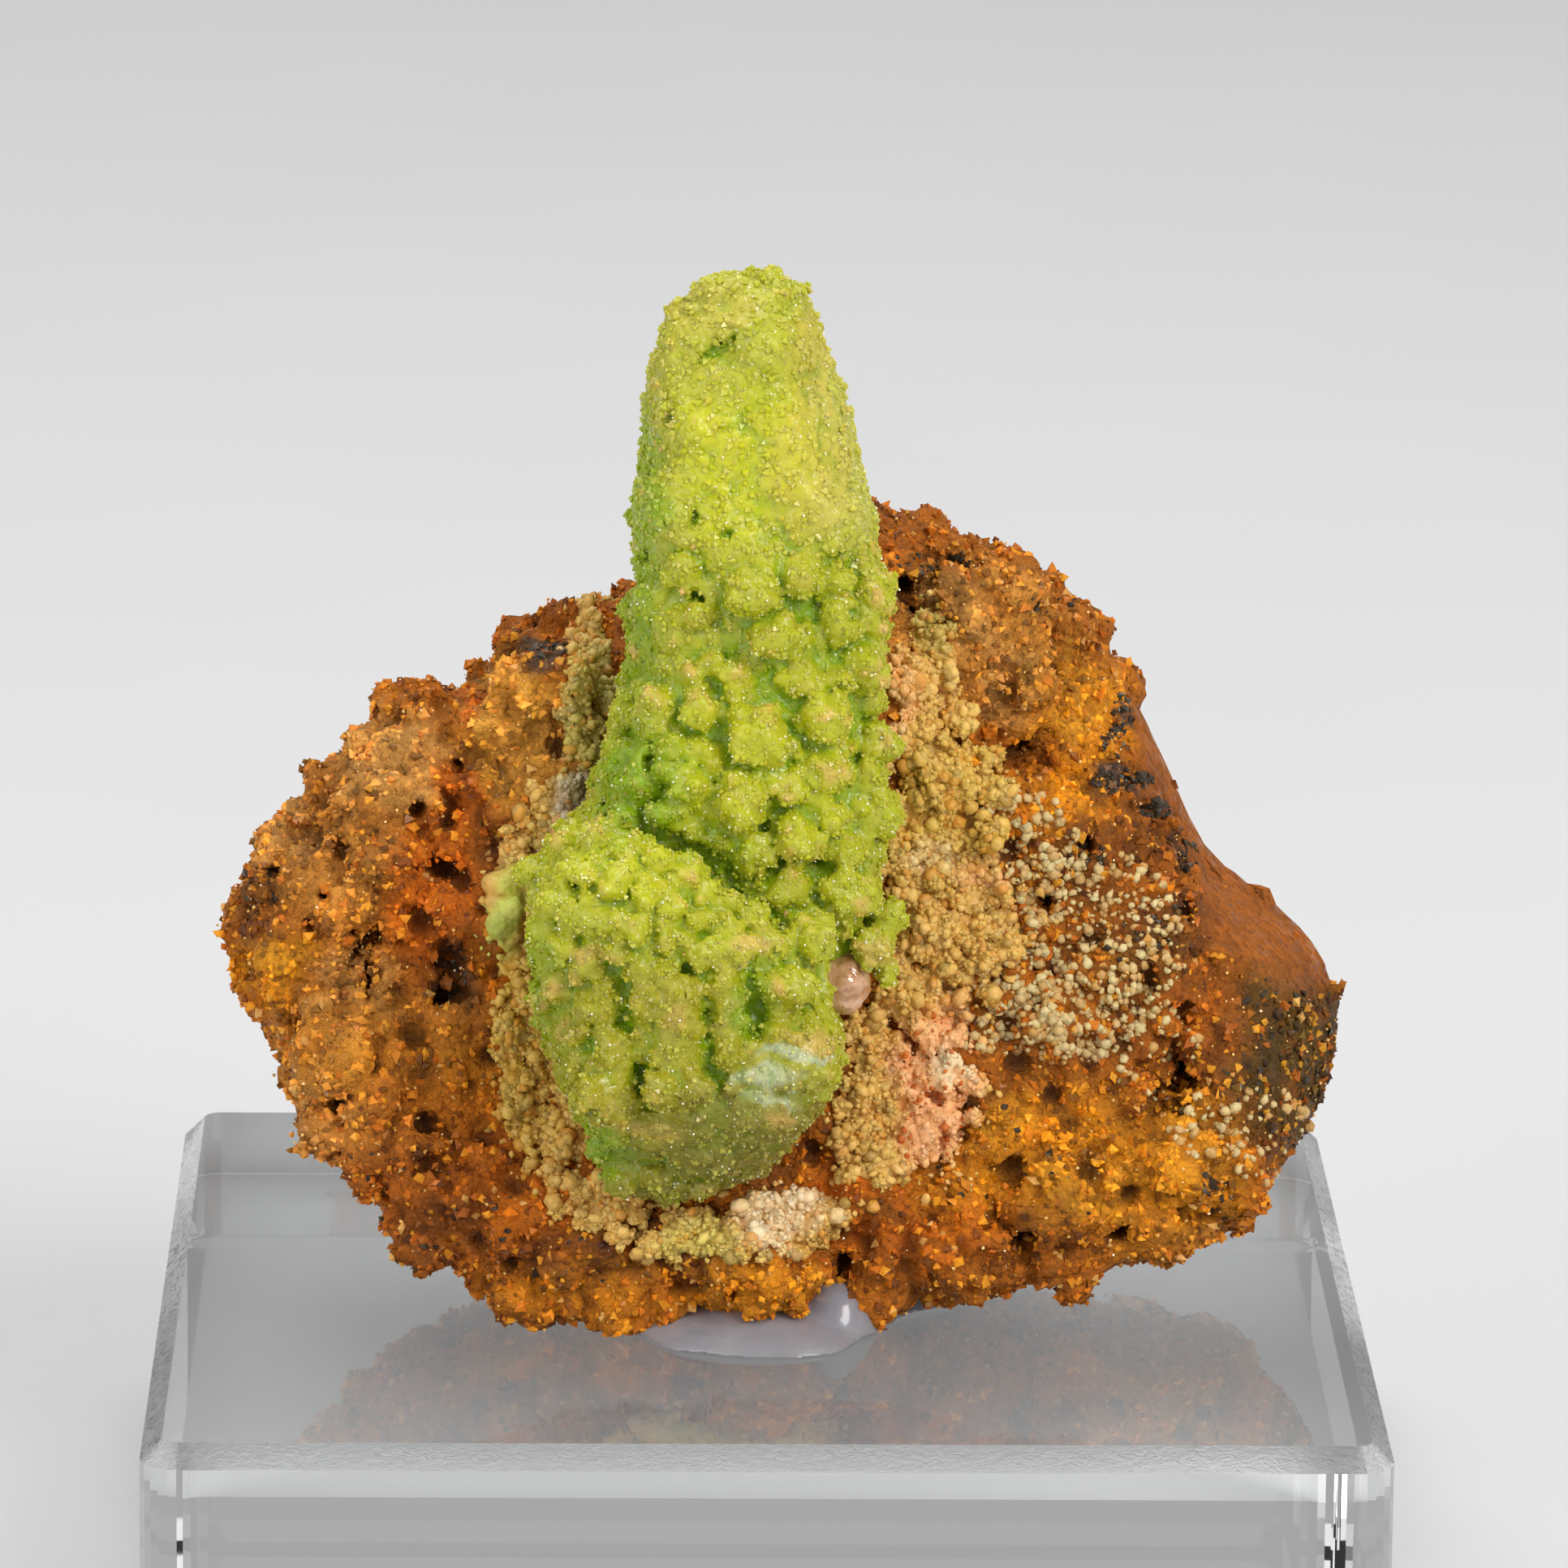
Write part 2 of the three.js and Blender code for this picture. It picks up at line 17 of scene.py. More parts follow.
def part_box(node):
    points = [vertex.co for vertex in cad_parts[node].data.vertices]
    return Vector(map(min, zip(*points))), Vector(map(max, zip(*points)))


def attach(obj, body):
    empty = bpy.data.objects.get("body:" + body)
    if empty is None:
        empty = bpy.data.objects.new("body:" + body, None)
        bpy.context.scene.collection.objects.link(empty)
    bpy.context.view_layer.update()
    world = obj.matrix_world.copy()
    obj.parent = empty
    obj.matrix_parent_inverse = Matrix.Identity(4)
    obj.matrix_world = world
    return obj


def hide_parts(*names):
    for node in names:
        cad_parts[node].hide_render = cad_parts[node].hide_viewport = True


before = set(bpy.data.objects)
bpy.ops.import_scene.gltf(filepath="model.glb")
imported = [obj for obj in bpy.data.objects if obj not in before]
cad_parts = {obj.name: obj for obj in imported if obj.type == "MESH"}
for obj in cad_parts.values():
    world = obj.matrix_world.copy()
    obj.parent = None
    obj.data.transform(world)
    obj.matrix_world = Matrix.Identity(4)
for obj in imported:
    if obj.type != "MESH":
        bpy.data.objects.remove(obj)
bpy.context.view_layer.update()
MM = 0.001

# Camera: where it stands, how it is turned and its focal length in picture pixels
PICTURE_PX = 1932
SENSOR = 36.0
CAMERA_AT = np.array([-7.213, -430.362, 141.038])
PITCH_DOWN = math.radians(13.9528)
YAW_RIGHT = math.radians(1.0742)
ROLL = math.radians(0.5266)
FOCAL_PX = 12959.6
# Scale of the picture at the specimen, and where lines of sight look for a skin, along Y
PX_PER_MM = 28.8
SIGHT_STEPS = np.arange(-26, 14, 0.1)

# Fineness of the meshes, and how far from a skin its distance is kept
CRYSTAL_VOXEL = 0.15
ROCK_VOXEL = 0.24
CRUST_VOXEL = 0.13
PUTTY_VOXEL = 0.25
CERUSSITE_VOXEL = 0.08
BAND = 2.2
# How far flat stretches of a mesh are merged, 0 to 1
CRYSTAL_MERGE = 0.35
ROCK_MERGE = 0.4
CRUST_MERGE = 0.3

# Lumps of the crystal
CRYSTAL_LUMPS = [
    (1081, 681, 21, 21), (1075, 729, 25, 25), (1061, 818, 28, 28), (1091, 821, 18, 20), (1068, 864, 21, 20),
    (1072, 914, 31, 23), (1068, 961, 26, 25), (1013, 883, 29, 29), (934, 908, 34, 34), (1013, 952, 28, 28),
    (969, 965, 21, 21), (911, 985, 25, 38), (852, 968, 23, 23), (877, 818, 17, 19), (866, 871, 22, 27),
    (861, 917, 16, 14), (813, 871, 25, 27), (778, 880, 18, 24), (870, 752, 18, 20), (785, 748, 15, 20),
    (955, 782, 30, 28), (1030, 760, 25, 26), (1076, 775, 20, 22), (930, 730, 32, 30), (984, 706, 28, 26),
    (1025, 715, 22, 22), (845, 700, 24, 24), (815, 735, 20, 24), (905, 840, 26, 28), (985, 838, 27, 24),
    (1025, 838, 22, 20), (830, 930, 28, 28), (795, 960, 24, 30), (765, 935, 18, 26), (880, 940, 20, 22),
    (1085, 1000, 19, 30), (982, 1035, 26, 26), (975, 1092, 23, 22), (1048, 1101, 30, 28),
    (1000, 1156, 27, 27), (1036, 1135, 23, 23), (949, 1168, 23, 20), (972, 1214, 34, 21), (909, 1171, 21, 19),
    (865, 1178, 19, 18), (816, 1193, 22, 20), (782, 1196, 15, 15), (730, 1184, 28, 25), (693, 1159, 25, 25),
    (736, 1236, 27, 25), (690, 1214, 22, 22), (672, 1232, 16, 18), (816, 1340, 20, 20), (859, 1343, 20, 19),
    (733, 1352, 26, 25), (660, 1263, 24, 26), (652, 1190, 18, 24), (655, 1120, 22, 26), (739, 1416, 14, 14),
    (715, 1398, 13, 13), (681, 1425, 9, 10), (764, 1453, 19, 15), (865, 1459, 15, 13), (812, 1448, 20, 14),
    (1040, 1045, 22, 24), (1070, 1050, 20, 26), (1085, 1110, 17, 28), (1070, 1165, 20, 22),
    (935, 1040, 22, 24), (1020, 1008, 24, 20), (900, 1468, 18, 14), (850, 1490, 16, 12), (790, 1475, 16, 12),
    (836, 384, 15, 14), (948, 345, 16, 15), (880, 356, 14, 12), (980, 362, 14, 14), (668, 1075, 20, 18),
    (700, 1042, 20, 16), (738, 1040, 20, 15), (772, 1048, 18, 14), (804, 1064, 18, 14), (836, 1078, 18, 14),
    (866, 1094, 18, 14), (898, 1112, 18, 14), (925, 1136, 16, 14), (690, 1110, 18, 16), (722, 1080, 20, 16),
    (758, 1086, 19, 16), (794, 1104, 18, 16), (828, 1118, 18, 15), (862, 1134, 18, 15), (893, 1150, 16, 14),
    (712, 1128, 18, 16), (748, 1132, 18, 16), (784, 1146, 18, 15), (820, 1158, 16, 14), (762, 1168, 16, 14),
    (674, 1140, 16, 16), (800, 1182, 14, 12),
]
# Lumps that swell past the crystal's right edge, and how far left of them its skin is found
EDGE_LUMPS = [(1082, 1168, 18, 20), (1090, 1194, 14, 17), (1088, 1140, 16, 20)]
EDGE_STEP = 46
# Fingers hanging under the lobe's cap: x, top, bottom, half width
CRYSTAL_FINGERS = [(895, 1200, 1306, 19), (834, 1225, 1335, 31), (755, 1285, 1362, 27), (800, 1215, 1290, 20)]
# Valley between steeple and lobe: x, y of its bends
CRYSTAL_VALLEY = [(694, 1000), (745, 1008), (800, 1030), (860, 1062), (915, 1100), (958, 1140)]
# Wide recesses, with their depth in mm
CRYSTAL_RECESSES = [
    (850, 1300, 120, 85, 0.85), (745, 1300, 66, 86, 0.55), (770, 1432, 84, 42, 0.7), (925, 1250, 28, 42, 0.7),
    (950, 1040, 26, 50, 0.45), (1015, 1062, 30, 26, 0.4), (790, 985, 34, 30, 0.6), (690, 1400, 40, 40, 0.4),
]
# Bulges, then pits with their turn
CRYSTAL_BULGES = [(1000, 1325, 58, 60), (945, 1385, 66, 50), (885, 1425, 56, 40), (765, 1110, 90, 70)]
CRYSTAL_PITS = [
    (873, 438, 16, 7, 35), (893, 424, 15, 8, 20), (859, 490, 9, 7, 30), (822, 514, 12, 11, 0),
    (895, 659, 10, 7, 20), (1038, 681, 13, 9, 0), (1052, 756, 12, 12, 0), (1040, 848, 10, 8, 0),
    (800, 585, 9, 16, 0), (855, 640, 10, 14, 0), (795, 690, 10, 14, 0), (858, 735, 20, 7, -20),
    (880, 768, 12, 8, 0), (892, 812, 7, 12, 0), (882, 850, 12, 16, 0), (800, 935, 8, 18, 20),
    (985, 1060, 10, 12, 0), (940, 1015, 10, 14, 0), (1010, 1055, 12, 10, 0), (705, 1092, 10, 6, 0),
    (757, 1195, 14, 12, 0), (770, 1215, 14, 14, 0), (845, 1195, 12, 10, 0), (925, 1200, 12, 26, 0),
    (792, 1330, 9, 30, 0), (876, 1310, 8, 20, 0), (885, 1330, 13, 14, 0), (805, 1365, 20, 8, 0),
    (728, 1290, 12, 12, 0), (995, 1240, 26, 10, 0), (930, 1250, 14, 22, 0), (725, 1375, 12, 10, 0),
]
# The lobe's streaky foot, which has no balls
STREAKY_PATCH = (965, 1390, 100, 65)
# Cerussite knob, and how far it stands off the crystal's skin in mm
CERUSSITE = (1040, 1207, 33, 35)
CERUSSITE_SHIFT = (-0.1, -0.5, 0)

# Pits and cracks of the matrix, with their depth in mm and turn
ROCK_PITS = [
    (556, 1188, 18, 36, 1.1, 10), (548, 1225, 22, 14, 1.0, 0), (441, 1172, 6, 22, 1.8, -25),
    (455, 1212, 5, 24, 1.8, -12), (434, 1152, 7, 7, 1.5, 0), (379, 1146, 9, 12, 1.5, 0),
    (421, 1004, 13, 7, 1.5, 15), (513, 1002, 15, 12, 1.6, 40), (566, 949, 12, 10, 1.8, 0),
    (397, 1108, 8, 7, 1.2, 0), (335, 1078, 14, 10, 1.2, 30), (1112, 724, 16, 13, 2.0, 0),
    (1253, 927, 22, 12, 1.8, 20), (1338, 1045, 14, 20, 1.6, 0), (1460, 1126, 16, 12, 1.8, 0),
    (1425, 1355, 22, 20, 2.4, 0), (1462, 1322, 22, 12, 2.2, -50), (1445, 1345, 22, 10, 2.2, -40),
    (1262, 1530, 20, 14, 1.8, 20), (1380, 1522, 20, 10, 1.6, 25), (1030, 1600, 8, 34, 2.4, -18),
    (1040, 1560, 12, 16, 2.0, 0), (690, 1455, 20, 8, 1.6, 20), (795, 1500, 12, 8, 1.4, 10),
    (1110, 1440, 9, 22, 1.6, -8), (540, 1075, 26, 9, 1.2, -12), (365, 1255, 10, 8, 1.2, 0),
    (905, 1610, 8, 22, 1.6, 10), (1290, 1110, 10, 18, 1.4, 0), (1180, 1400, 12, 9, 1.2, 0),
]
# Knobs of the matrix: x, y, radius
ROCK_KNOBS = [
    (650, 778, 22), (690, 772, 20), (725, 776, 22), (755, 782, 18), (640, 800, 18), (505, 845, 24),
    (490, 880, 30), (545, 880, 28), (455, 930, 26), (415, 965, 28), (360, 1040, 28), (330, 1080, 26),
    (305, 1150, 22), (320, 1210, 34), (352, 1260, 26), (400, 1310, 40), (400, 1390, 40), (450, 1430, 34),
    (470, 1500, 26), (560, 1560, 34), (640, 1590, 34), (760, 1610, 40), (830, 1600, 34), (930, 1570, 46),
    (985, 1580, 34), (1090, 1575, 30), (1180, 1560, 36), (1290, 1490, 44), (1330, 1560, 34), (1440, 1530, 38),
    (1530, 1460, 40), (1560, 1390, 36), (1180, 690, 30), (1250, 730, 34), (1310, 770, 30), (1380, 1200, 34),
    (1230, 1000, 40), (520, 960, 26), (480, 1060, 40), (420, 1110, 36), (1556, 1104, 20), (1580, 1112, 20),
    (1604, 1134, 20),
]
# Raised plates of the matrix, with their thickness in mm and turn
ROCK_PLATES = [(652, 912, 66, 96, 0.8, -12), (1205, 800, 70, 90, 0.6, 10), (470, 1010, 50, 50, 0.6, 0)]
# Smooth parts of the matrix: its side face, then its far facet and the foot's edge
SIDE_PATCHES = [(1450, 900, 60, 120), (1500, 1000, 50, 110), (1560, 1120, 86, 74), (1600, 1180, 60, 50)]
FACET_PATCHES = [(1585, 1300, 88, 118), (1440, 1562, 150, 44), (1592, 1440, 50, 70)]

# Tones of the matrix, linear light
RUST = (0.37, 0.105, 0.004)
TAN = (0.58, 0.235, 0.030)
SAND = (0.62, 0.32, 0.08)
GOLD = (0.64, 0.225, 0.004)
BRIGHT_GOLD = (0.76, 0.33, 0.015)
EMBER = (0.58, 0.128, 0.003)
UMBER = (0.055, 0.018, 0.003)
OCHRE = (0.33, 0.088, 0.002)
OLIVE = (0.085, 0.048, 0.006)
BLACK = (0.035, 0.028, 0.024)
PINK = (0.70, 0.30, 0.10)
# Where they lie, one over the other: tone, place, strength
ROCK_TONES = [
    (TAN, 420, 1000, 140, 150, 0.8), (TAN, 380, 1340, 80, 110, 0.85), (SAND, 480, 930, 70, 60, 0.5),
    (SAND, 430, 1230, 70, 60, 0.5), (TAN, 655, 910, 95, 110, 0.9), (SAND, 640, 870, 60, 60, 0.35),
    (BRIGHT_GOLD, 655, 915, 84, 98, 0.4), (SAND, 680, 960, 40, 50, 0.25), (SAND, 340, 1040, 40, 40, 0.35),
    (SAND, 395, 1370, 50, 60, 0.35), (TAN, 500, 1300, 110, 120, 0.45), (GOLD, 560, 1340, 70, 60, 0.45),
    (GOLD, 330, 1205, 60, 40, 0.95), (GOLD, 420, 1290, 70, 60, 0.4), (UMBER, 318, 1090, 36, 40, 0.5),
    (EMBER, 530, 1110, 60, 100, 0.85), (EMBER, 560, 990, 40, 40, 0.8), (EMBER, 585, 855, 24, 20, 0.9),
    (UMBER, 560, 1200, 30, 44, 0.8), (RUST, 700, 790, 90, 40, 0.5), (BLACK, 668, 803, 34, 14, 0.85),
    (UMBER, 760, 1545, 170, 40, 0.35), (EMBER, 560, 1440, 170, 110, 0.35), (UMBER, 540, 1520, 70, 30, 0.4),
    (GOLD, 700, 1600, 120, 44, 0.5), (BRIGHT_GOLD, 940, 1600, 100, 40, 0.5), (GOLD, 940, 1600, 100, 44, 0.8),
    (EMBER, 1100, 1480, 110, 60, 0.6), (GOLD, 1290, 1430, 170, 90, 0.85), (EMBER, 1170, 1520, 80, 40, 0.4),
    (TAN, 1210, 790, 130, 100, 0.9), (SAND, 1190, 770, 60, 50, 0.45), (PINK, 1216, 1079, 40, 30, 0.4),
    (SAND, 1250, 850, 40, 50, 0.4), (GOLD, 1330, 900, 60, 120, 0.8), (EMBER, 1260, 935, 60, 30, 0.6),
    (GOLD, 1240, 970, 110, 60, 0.4), (UMBER, 1350, 1050, 60, 50, 0.45), (BLACK, 1384, 962, 42, 16, 0.9),
    (BLACK, 1424, 998, 20, 13, 0.9), (BLACK, 1382, 878, 14, 26, 0.8), (BLACK, 1463, 1056, 18, 28, 0.75),
    (UMBER, 1440, 1140, 60, 40, 0.5), (OLIVE, 1585, 1300, 88, 118, 0.95), (OLIVE, 1497, 1478, 28, 44, 0.8),
    (OLIVE, 1380, 1180, 70, 50, 0.45), (GOLD, 1400, 1460, 130, 80, 0.7), (UMBER, 1140, 725, 50, 26, 0.5),
    (GOLD, 1450, 1390, 60, 30, 0.4), (EMBER, 1500, 1260, 50, 50, 0.35), (TAN, 1470, 1530, 60, 30, 0.4),
    (UMBER, 1330, 1520, 90, 26, 0.35), (OLIVE, 1332, 1487, 26, 16, 0.75), (OLIVE, 1212, 1345, 28, 15, 0.6),
    (OLIVE, 1072, 1506, 34, 15, 0.6), (OLIVE, 1150, 1530, 32, 14, 0.5),
    (BRIGHT_GOLD, 1245, 1385, 40, 34, 0.5), (BRIGHT_GOLD, 1375, 1465, 90, 40, 0.5),
    (BRIGHT_GOLD, 1470, 1400, 40, 50, 0.4), (BRIGHT_GOLD, 1330, 850, 24, 60, 0.5),
    (BRIGHT_GOLD, 330, 1200, 34, 20, 0.5), (UMBER, 1390, 1250, 30, 60, 0.4),
]

# Bands of pale crust on the matrix
CRUST_PATCHES = [
    (1140, 870, 42, 100), (1160, 990, 66, 100), (1170, 1110, 86, 100), (1145, 1230, 74, 90),
    (1150, 1350, 58, 100), (1080, 1400, 54, 64), (725, 880, 28, 130), (700, 1000, 40, 54),
    (652, 1050, 40, 36), (638, 1140, 38, 84), (652, 1270, 44, 84), (688, 1390, 56, 66), (760, 1475, 74, 38),
    (865, 1525, 84, 32), (975, 1500, 62, 40), (1085, 1330, 44, 110),
]
# Where the pale lime plates lie, bare of beads, and where the crust is pink and finer
PLATE_PATCH = (614, 1132, 36, 72)
PINK_PATCH = (1150, 1345, 50, 105)
# Tones of the crust, where they lie, and the two tones that its loose grains vary between
CREAM = (0.70, 0.42, 0.095)
STRAW = (0.60, 0.39, 0.05)
SAGE = (0.42, 0.37, 0.08)
PALE_LIME = (0.60, 0.68, 0.13)
ASHEN = (0.48, 0.40, 0.28)
CHALK = (0.90, 0.68, 0.40)
SALMON = (0.90, 0.44, 0.19)
CRUST_TONES = [
    (SAGE, 730, 920, 50, 130, 0.8), (SAGE, 700, 1030, 40, 40, 0.5), (PALE_LIME, 620, 1135, 26, 66, 1.0),
    (STRAW, 640, 1300, 80, 140, 0.6), (SALMON, 1155, 1340, 52, 110, 0.95), (CHALK, 1168, 1311, 24, 22, 1.0),
    (CHALK, 975, 1490, 62, 40, 0.85), (SALMON, 1216, 1079, 40, 30, 0.8), (CHALK, 1150, 1060, 28, 20, 0.7),
    (STRAW, 1180, 1000, 90, 100, 0.5), (ASHEN, 708, 985, 34, 34, 0.85), (SALMON, 1100, 860, 30, 60, 0.5),
    (SAGE, 1160, 760, 40, 40, 0.5), (PALE_LIME, 860, 1530, 60, 30, 0.35),
]
GRAIN_TONES = [(0.50, 0.27, 0.07), (0.66, 0.55, 0.27)]
# Lumps of the crust: pale lime plates on the left, chalky ones below, single ones elsewhere
CRUST_LUMPS = [
    (612, 1088, 22, 15), (626, 1100, 15, 13), (604, 1080, 12, 9), (612, 1140, 17, 19), (604, 1156, 11, 12),
    (617, 1174, 17, 16), (603, 1190, 11, 10), (646, 1068, 11, 10), (634, 1120, 11, 12), (596, 1098, 8, 8),
    (945, 1480, 14, 12), (968, 1470, 13, 12), (990, 1484, 15, 13), (1012, 1494, 14, 12), (1004, 1512, 13, 11),
    (978, 1506, 14, 12), (955, 1505, 12, 11), (932, 1500, 11, 10), (1024, 1520, 10, 9), (1140, 1120, 11, 10),
    (1150, 1085, 12, 10), (1118, 1060, 12, 10), (1135, 1052, 10, 9), (1205, 990, 12, 11), (1190, 960, 11, 10),
    (1160, 940, 12, 10), (1135, 905, 12, 11), (715, 1440, 12, 10), (690, 1420, 10, 9), (760, 1490, 12, 10),
    (800, 1500, 12, 10), (640, 1290, 11, 10), (622, 1255, 10, 10), (650, 1330, 11, 10), (665, 1370, 11, 10),
    (1180, 1010, 12, 11), (1215, 1040, 11, 10),
]
# Loose cream grains on the right of the face, with their number
GRAIN_FIELDS = [
    (1330, 1170, 130, 130, 520), (1250, 1060, 90, 90, 220), (1230, 1220, 90, 80, 240),
    (1320, 1250, 80, 60, 150), (1560, 1400, 60, 60, 60), (1420, 1300, 60, 60, 60), (1480, 1390, 40, 40, 40),
]
# Black crystals on the matrix, with their number
GLANCE_PATCHES = [
    (1384, 962, 40, 13, 110), (1424, 998, 18, 11, 50), (1382, 878, 10, 24, 45), (1370, 915, 14, 20, 25),
    (1463, 1056, 14, 24, 40), (668, 803, 30, 11, 50), (1340, 1050, 24, 20, 30), (1400, 1160, 50, 30, 40),
    (1440, 1120, 30, 20, 20), (1130, 700, 30, 20, 25), (1585, 1300, 80, 110, 60), (1495, 1478, 22, 36, 20),
    (1180, 690, 20, 12, 14), (1300, 740, 30, 20, 14), (560, 1200, 20, 34, 30), (320, 1090, 26, 30, 20),
    (560, 1500, 90, 40, 14), (460, 1440, 40, 50, 8), (1260, 1440, 120, 80, 16), (740, 1560, 160, 50, 12),
]
# How many small crystals and grains there are, and the share of the crust's beads that are round
DRUSE_POINTS = 18000
FRONT_GRAINS = 20500
REAR_GRAINS = 3500
BEADS = 8000
STRAY_BEADS = 1400
ROUND_BEADS = 0.22
DRUSE_GLINTS = 3000
GOSSAN_GLINTS = 3600

# Putty: centre and three radii in mm
PUTTY_LUMPS = [
    (-0.5, -5.0, 12.5, 6.5, 8.0, 1.5), (3.4, -2.0, 12.5, 6.0, 4.7, 1.5), (3.2, -8.4, 13.3, 1.5, 1.6, 1.5),
    (0.5, -3.5, 13.5, 5.0, 5.0, 1.8),
]

# Gap between the block's underside and the floor, in metres
FLOOR_GAP = 0.00004
# Lights: name, place in metres, side in metres, power in watts, colour
LIGHTS = [
    ("key_light", (0.38, -0.52, 0.46), 0.34, 4.2, (1.0, 0.985, 0.96)),
    ("fill_light", (-0.50, -0.48, 0.30), 0.50, 2.0, (1.0, 1.0, 1.0)),
    ("top_light", (-0.05, 0.15, 0.65), 0.50, 2.4, (1.0, 1.0, 1.0)),
]
# Where they point, and the room's light
LIT_POINT = Vector((0, 0, 0.033))
WORLD_COLOUR = (1.0, 0.99, 0.97, 1.0)
WORLD_STRENGTH = 0.38

# Tones of the crystal, and where they lie
LIME = (0.40, 0.415, 0.008)
# The brightest lime: painted light, where the crystal is most lit.
PAINTED_GLOW = (0.54, 0.545, 0.008)
# A deep green: the crystal's own deeper green, and painted shade in its hollows, recesses and shaded edges.
LEAF_GREEN_AND_SHADE = (0.20, 0.35, 0.001)
# A pale frosty tone: the crystal's own frosty colour, and painted rim light on the steeple's right edge.
FROST_AND_RIM_LIGHT = (0.60, 0.56, 0.12)
DUST = (0.68, 0.41, 0.12)
MOSS = (0.33, 0.295, 0.008)
MILKY = (0.48, 0.54, 0.33)
SLATE_GREEN = (0.20, 0.17, 0.018)
CRYSTAL_TONES = [
    # The pale frost patch at 1040, 520 on the steeple's right edge is painted rim light; the other frost
    # patches are the crystal's frosty colour.
    (MOSS, 800, 1300, 190, 120, 0.8), (MOSS, 830, 1420, 160, 100, 0.8), (FROST_AND_RIM_LIGHT, 910, 400, 120, 80, 0.3),
    # Painted light: the brightest lime patches at 930, 570 on the steeple's middle, at 950, 930 below it and
    # at 780, 1075 on the lobe's cap.
    (FROST_AND_RIM_LIGHT, 1040, 520, 50, 150, 0.5), (FROST_AND_RIM_LIGHT, 800, 560, 40, 160, 0.2), (PAINTED_GLOW, 930, 570, 90, 100, 0.9),
    # Painted shade: the deep green patches down the steeple's left side, in the recess left of its foot, in
    # the valley under it, on the lobe's left edge, in its recess at 930, 1240 and along its lower edges.
    (LEAF_GREEN_AND_SHADE, 785, 680, 34, 190, 0.7), (LEAF_GREEN_AND_SHADE, 790, 965, 66, 62, 0.85), (LEAF_GREEN_AND_SHADE, 880, 1045, 50, 30, 0.6),
    (PAINTED_GLOW, 950, 930, 130, 110, 0.35), (PAINTED_GLOW, 780, 1075, 130, 50, 0.45), (LEAF_GREEN_AND_SHADE, 650, 1240, 30, 90, 0.6),
    (SLATE_GREEN, 960, 1400, 130, 70, 0.85), (SLATE_GREEN, 830, 1460, 110, 50, 0.6),
    (DUST, 1005, 1284, 40, 13, 0.65), (DUST, 975, 1375, 10, 7, 0.6), (DUST, 735, 1185, 26, 12, 0.6),
    (DUST, 925, 1165, 26, 10, 0.6), (DUST, 835, 1260, 20, 22, 0.4), (LIME, 910, 400, 120, 90, 0.5),
    (DUST, 880, 375, 52, 30, 0.2), (DUST, 1000, 440, 40, 70, 0.25), (DUST, 1000, 590, 50, 80, 0.2),
    (DUST, 1085, 1170, 14, 20, 0.5), (DUST, 1060, 1228, 16, 12, 0.7), (MILKY, 935, 1328, 40, 12, 0.9),
    (MILKY, 985, 1300, 46, 9, 0.9), (MILKY, 955, 1350, 34, 6, 0.8), (LEAF_GREEN_AND_SHADE, 930, 1240, 26, 40, 0.7),
    (LEAF_GREEN_AND_SHADE, 720, 1420, 60, 40, 0.8), (DUST, 800, 1390, 50, 12, 0.4), (LEAF_GREEN_AND_SHADE, 850, 1500, 80, 22, 0.5),
]


# View

def view_axes():
    """Right, up and forward of the camera."""
    forward = np.array([
        math.sin(YAW_RIGHT) * math.cos(PITCH_DOWN),
        math.cos(YAW_RIGHT) * math.cos(PITCH_DOWN),
        -math.sin(PITCH_DOWN),
    ])
    level = np.array([math.cos(YAW_RIGHT), -math.sin(YAW_RIGHT), 0.0])
    upright = np.cross(level, forward)
    right = level * math.cos(ROLL) + upright * math.sin(ROLL)
    up = upright * math.cos(ROLL) - level * math.sin(ROLL)
    return right, up, forward


RIGHT, UP, FORWARD = view_axes()


def in_picture(points):
    """Picture pixels of points in mm."""
    offset = points - CAMERA_AT
    depth = offset @ FORWARD
    x = PICTURE_PX / 2 + FOCAL_PX * (offset @ RIGHT) / depth
    y = PICTURE_PX / 2 - FOCAL_PX * (offset @ UP) / depth
    return np.stack([x, y], -1)


def add_object(name, data):
    """Puts an object with some data into the scene."""
    made = bpy.data.objects.new(name, data)
    bpy.context.scene.collection.objects.link(made)
    return made


def make_camera():
    data = bpy.data.cameras.new("camera")
    data.sensor_width = SENSOR
    data.lens = SENSOR * FOCAL_PX / PICTURE_PX
    data.clip_start = 0.01
    data.clip_end = 20.0
    camera = add_object("camera", data)
    camera.matrix_world = Matrix([
        [RIGHT[k], UP[k], -FORWARD[k], CAMERA_AT[k] * MM] for k in range(3)
    ] + [[0, 0, 0, 1]])
    bpy.context.scene.camera = camera


# Noise

def scramble(x, y, z, seed):
    """A repeatable value from 0 to 1 for each whole-number place."""
    a = x.astype(np.uint32) * np.uint32(73856093)
    b = y.astype(np.uint32) * np.uint32(19349663)
    c = z.astype(np.uint32) * np.uint32(83492791)
    h = a ^ b ^ c ^ np.uint32((seed * 2654435761) % 4294967296)
    h = (h ^ (h >> np.uint32(15))) * np.uint32(2246822519)
    h = (h ^ (h >> np.uint32(13))) * np.uint32(3266489917)
    h = h ^ (h >> np.uint32(16))
    return (h & np.uint32(0xFFFFFF)).astype(np.float32) / 16777215.0


def cell_corners(part):
    """Each corner of a grid cell, and its weight at places that lie some part of the way across."""
    for i, j, k in np.ndindex(2, 2, 2):
        x, y, z = np.abs(1 - i - part[:, 0]), np.abs(1 - j - part[:, 1]), np.abs(1 - k - part[:, 2])
        yield (i, j, k), x * y * z


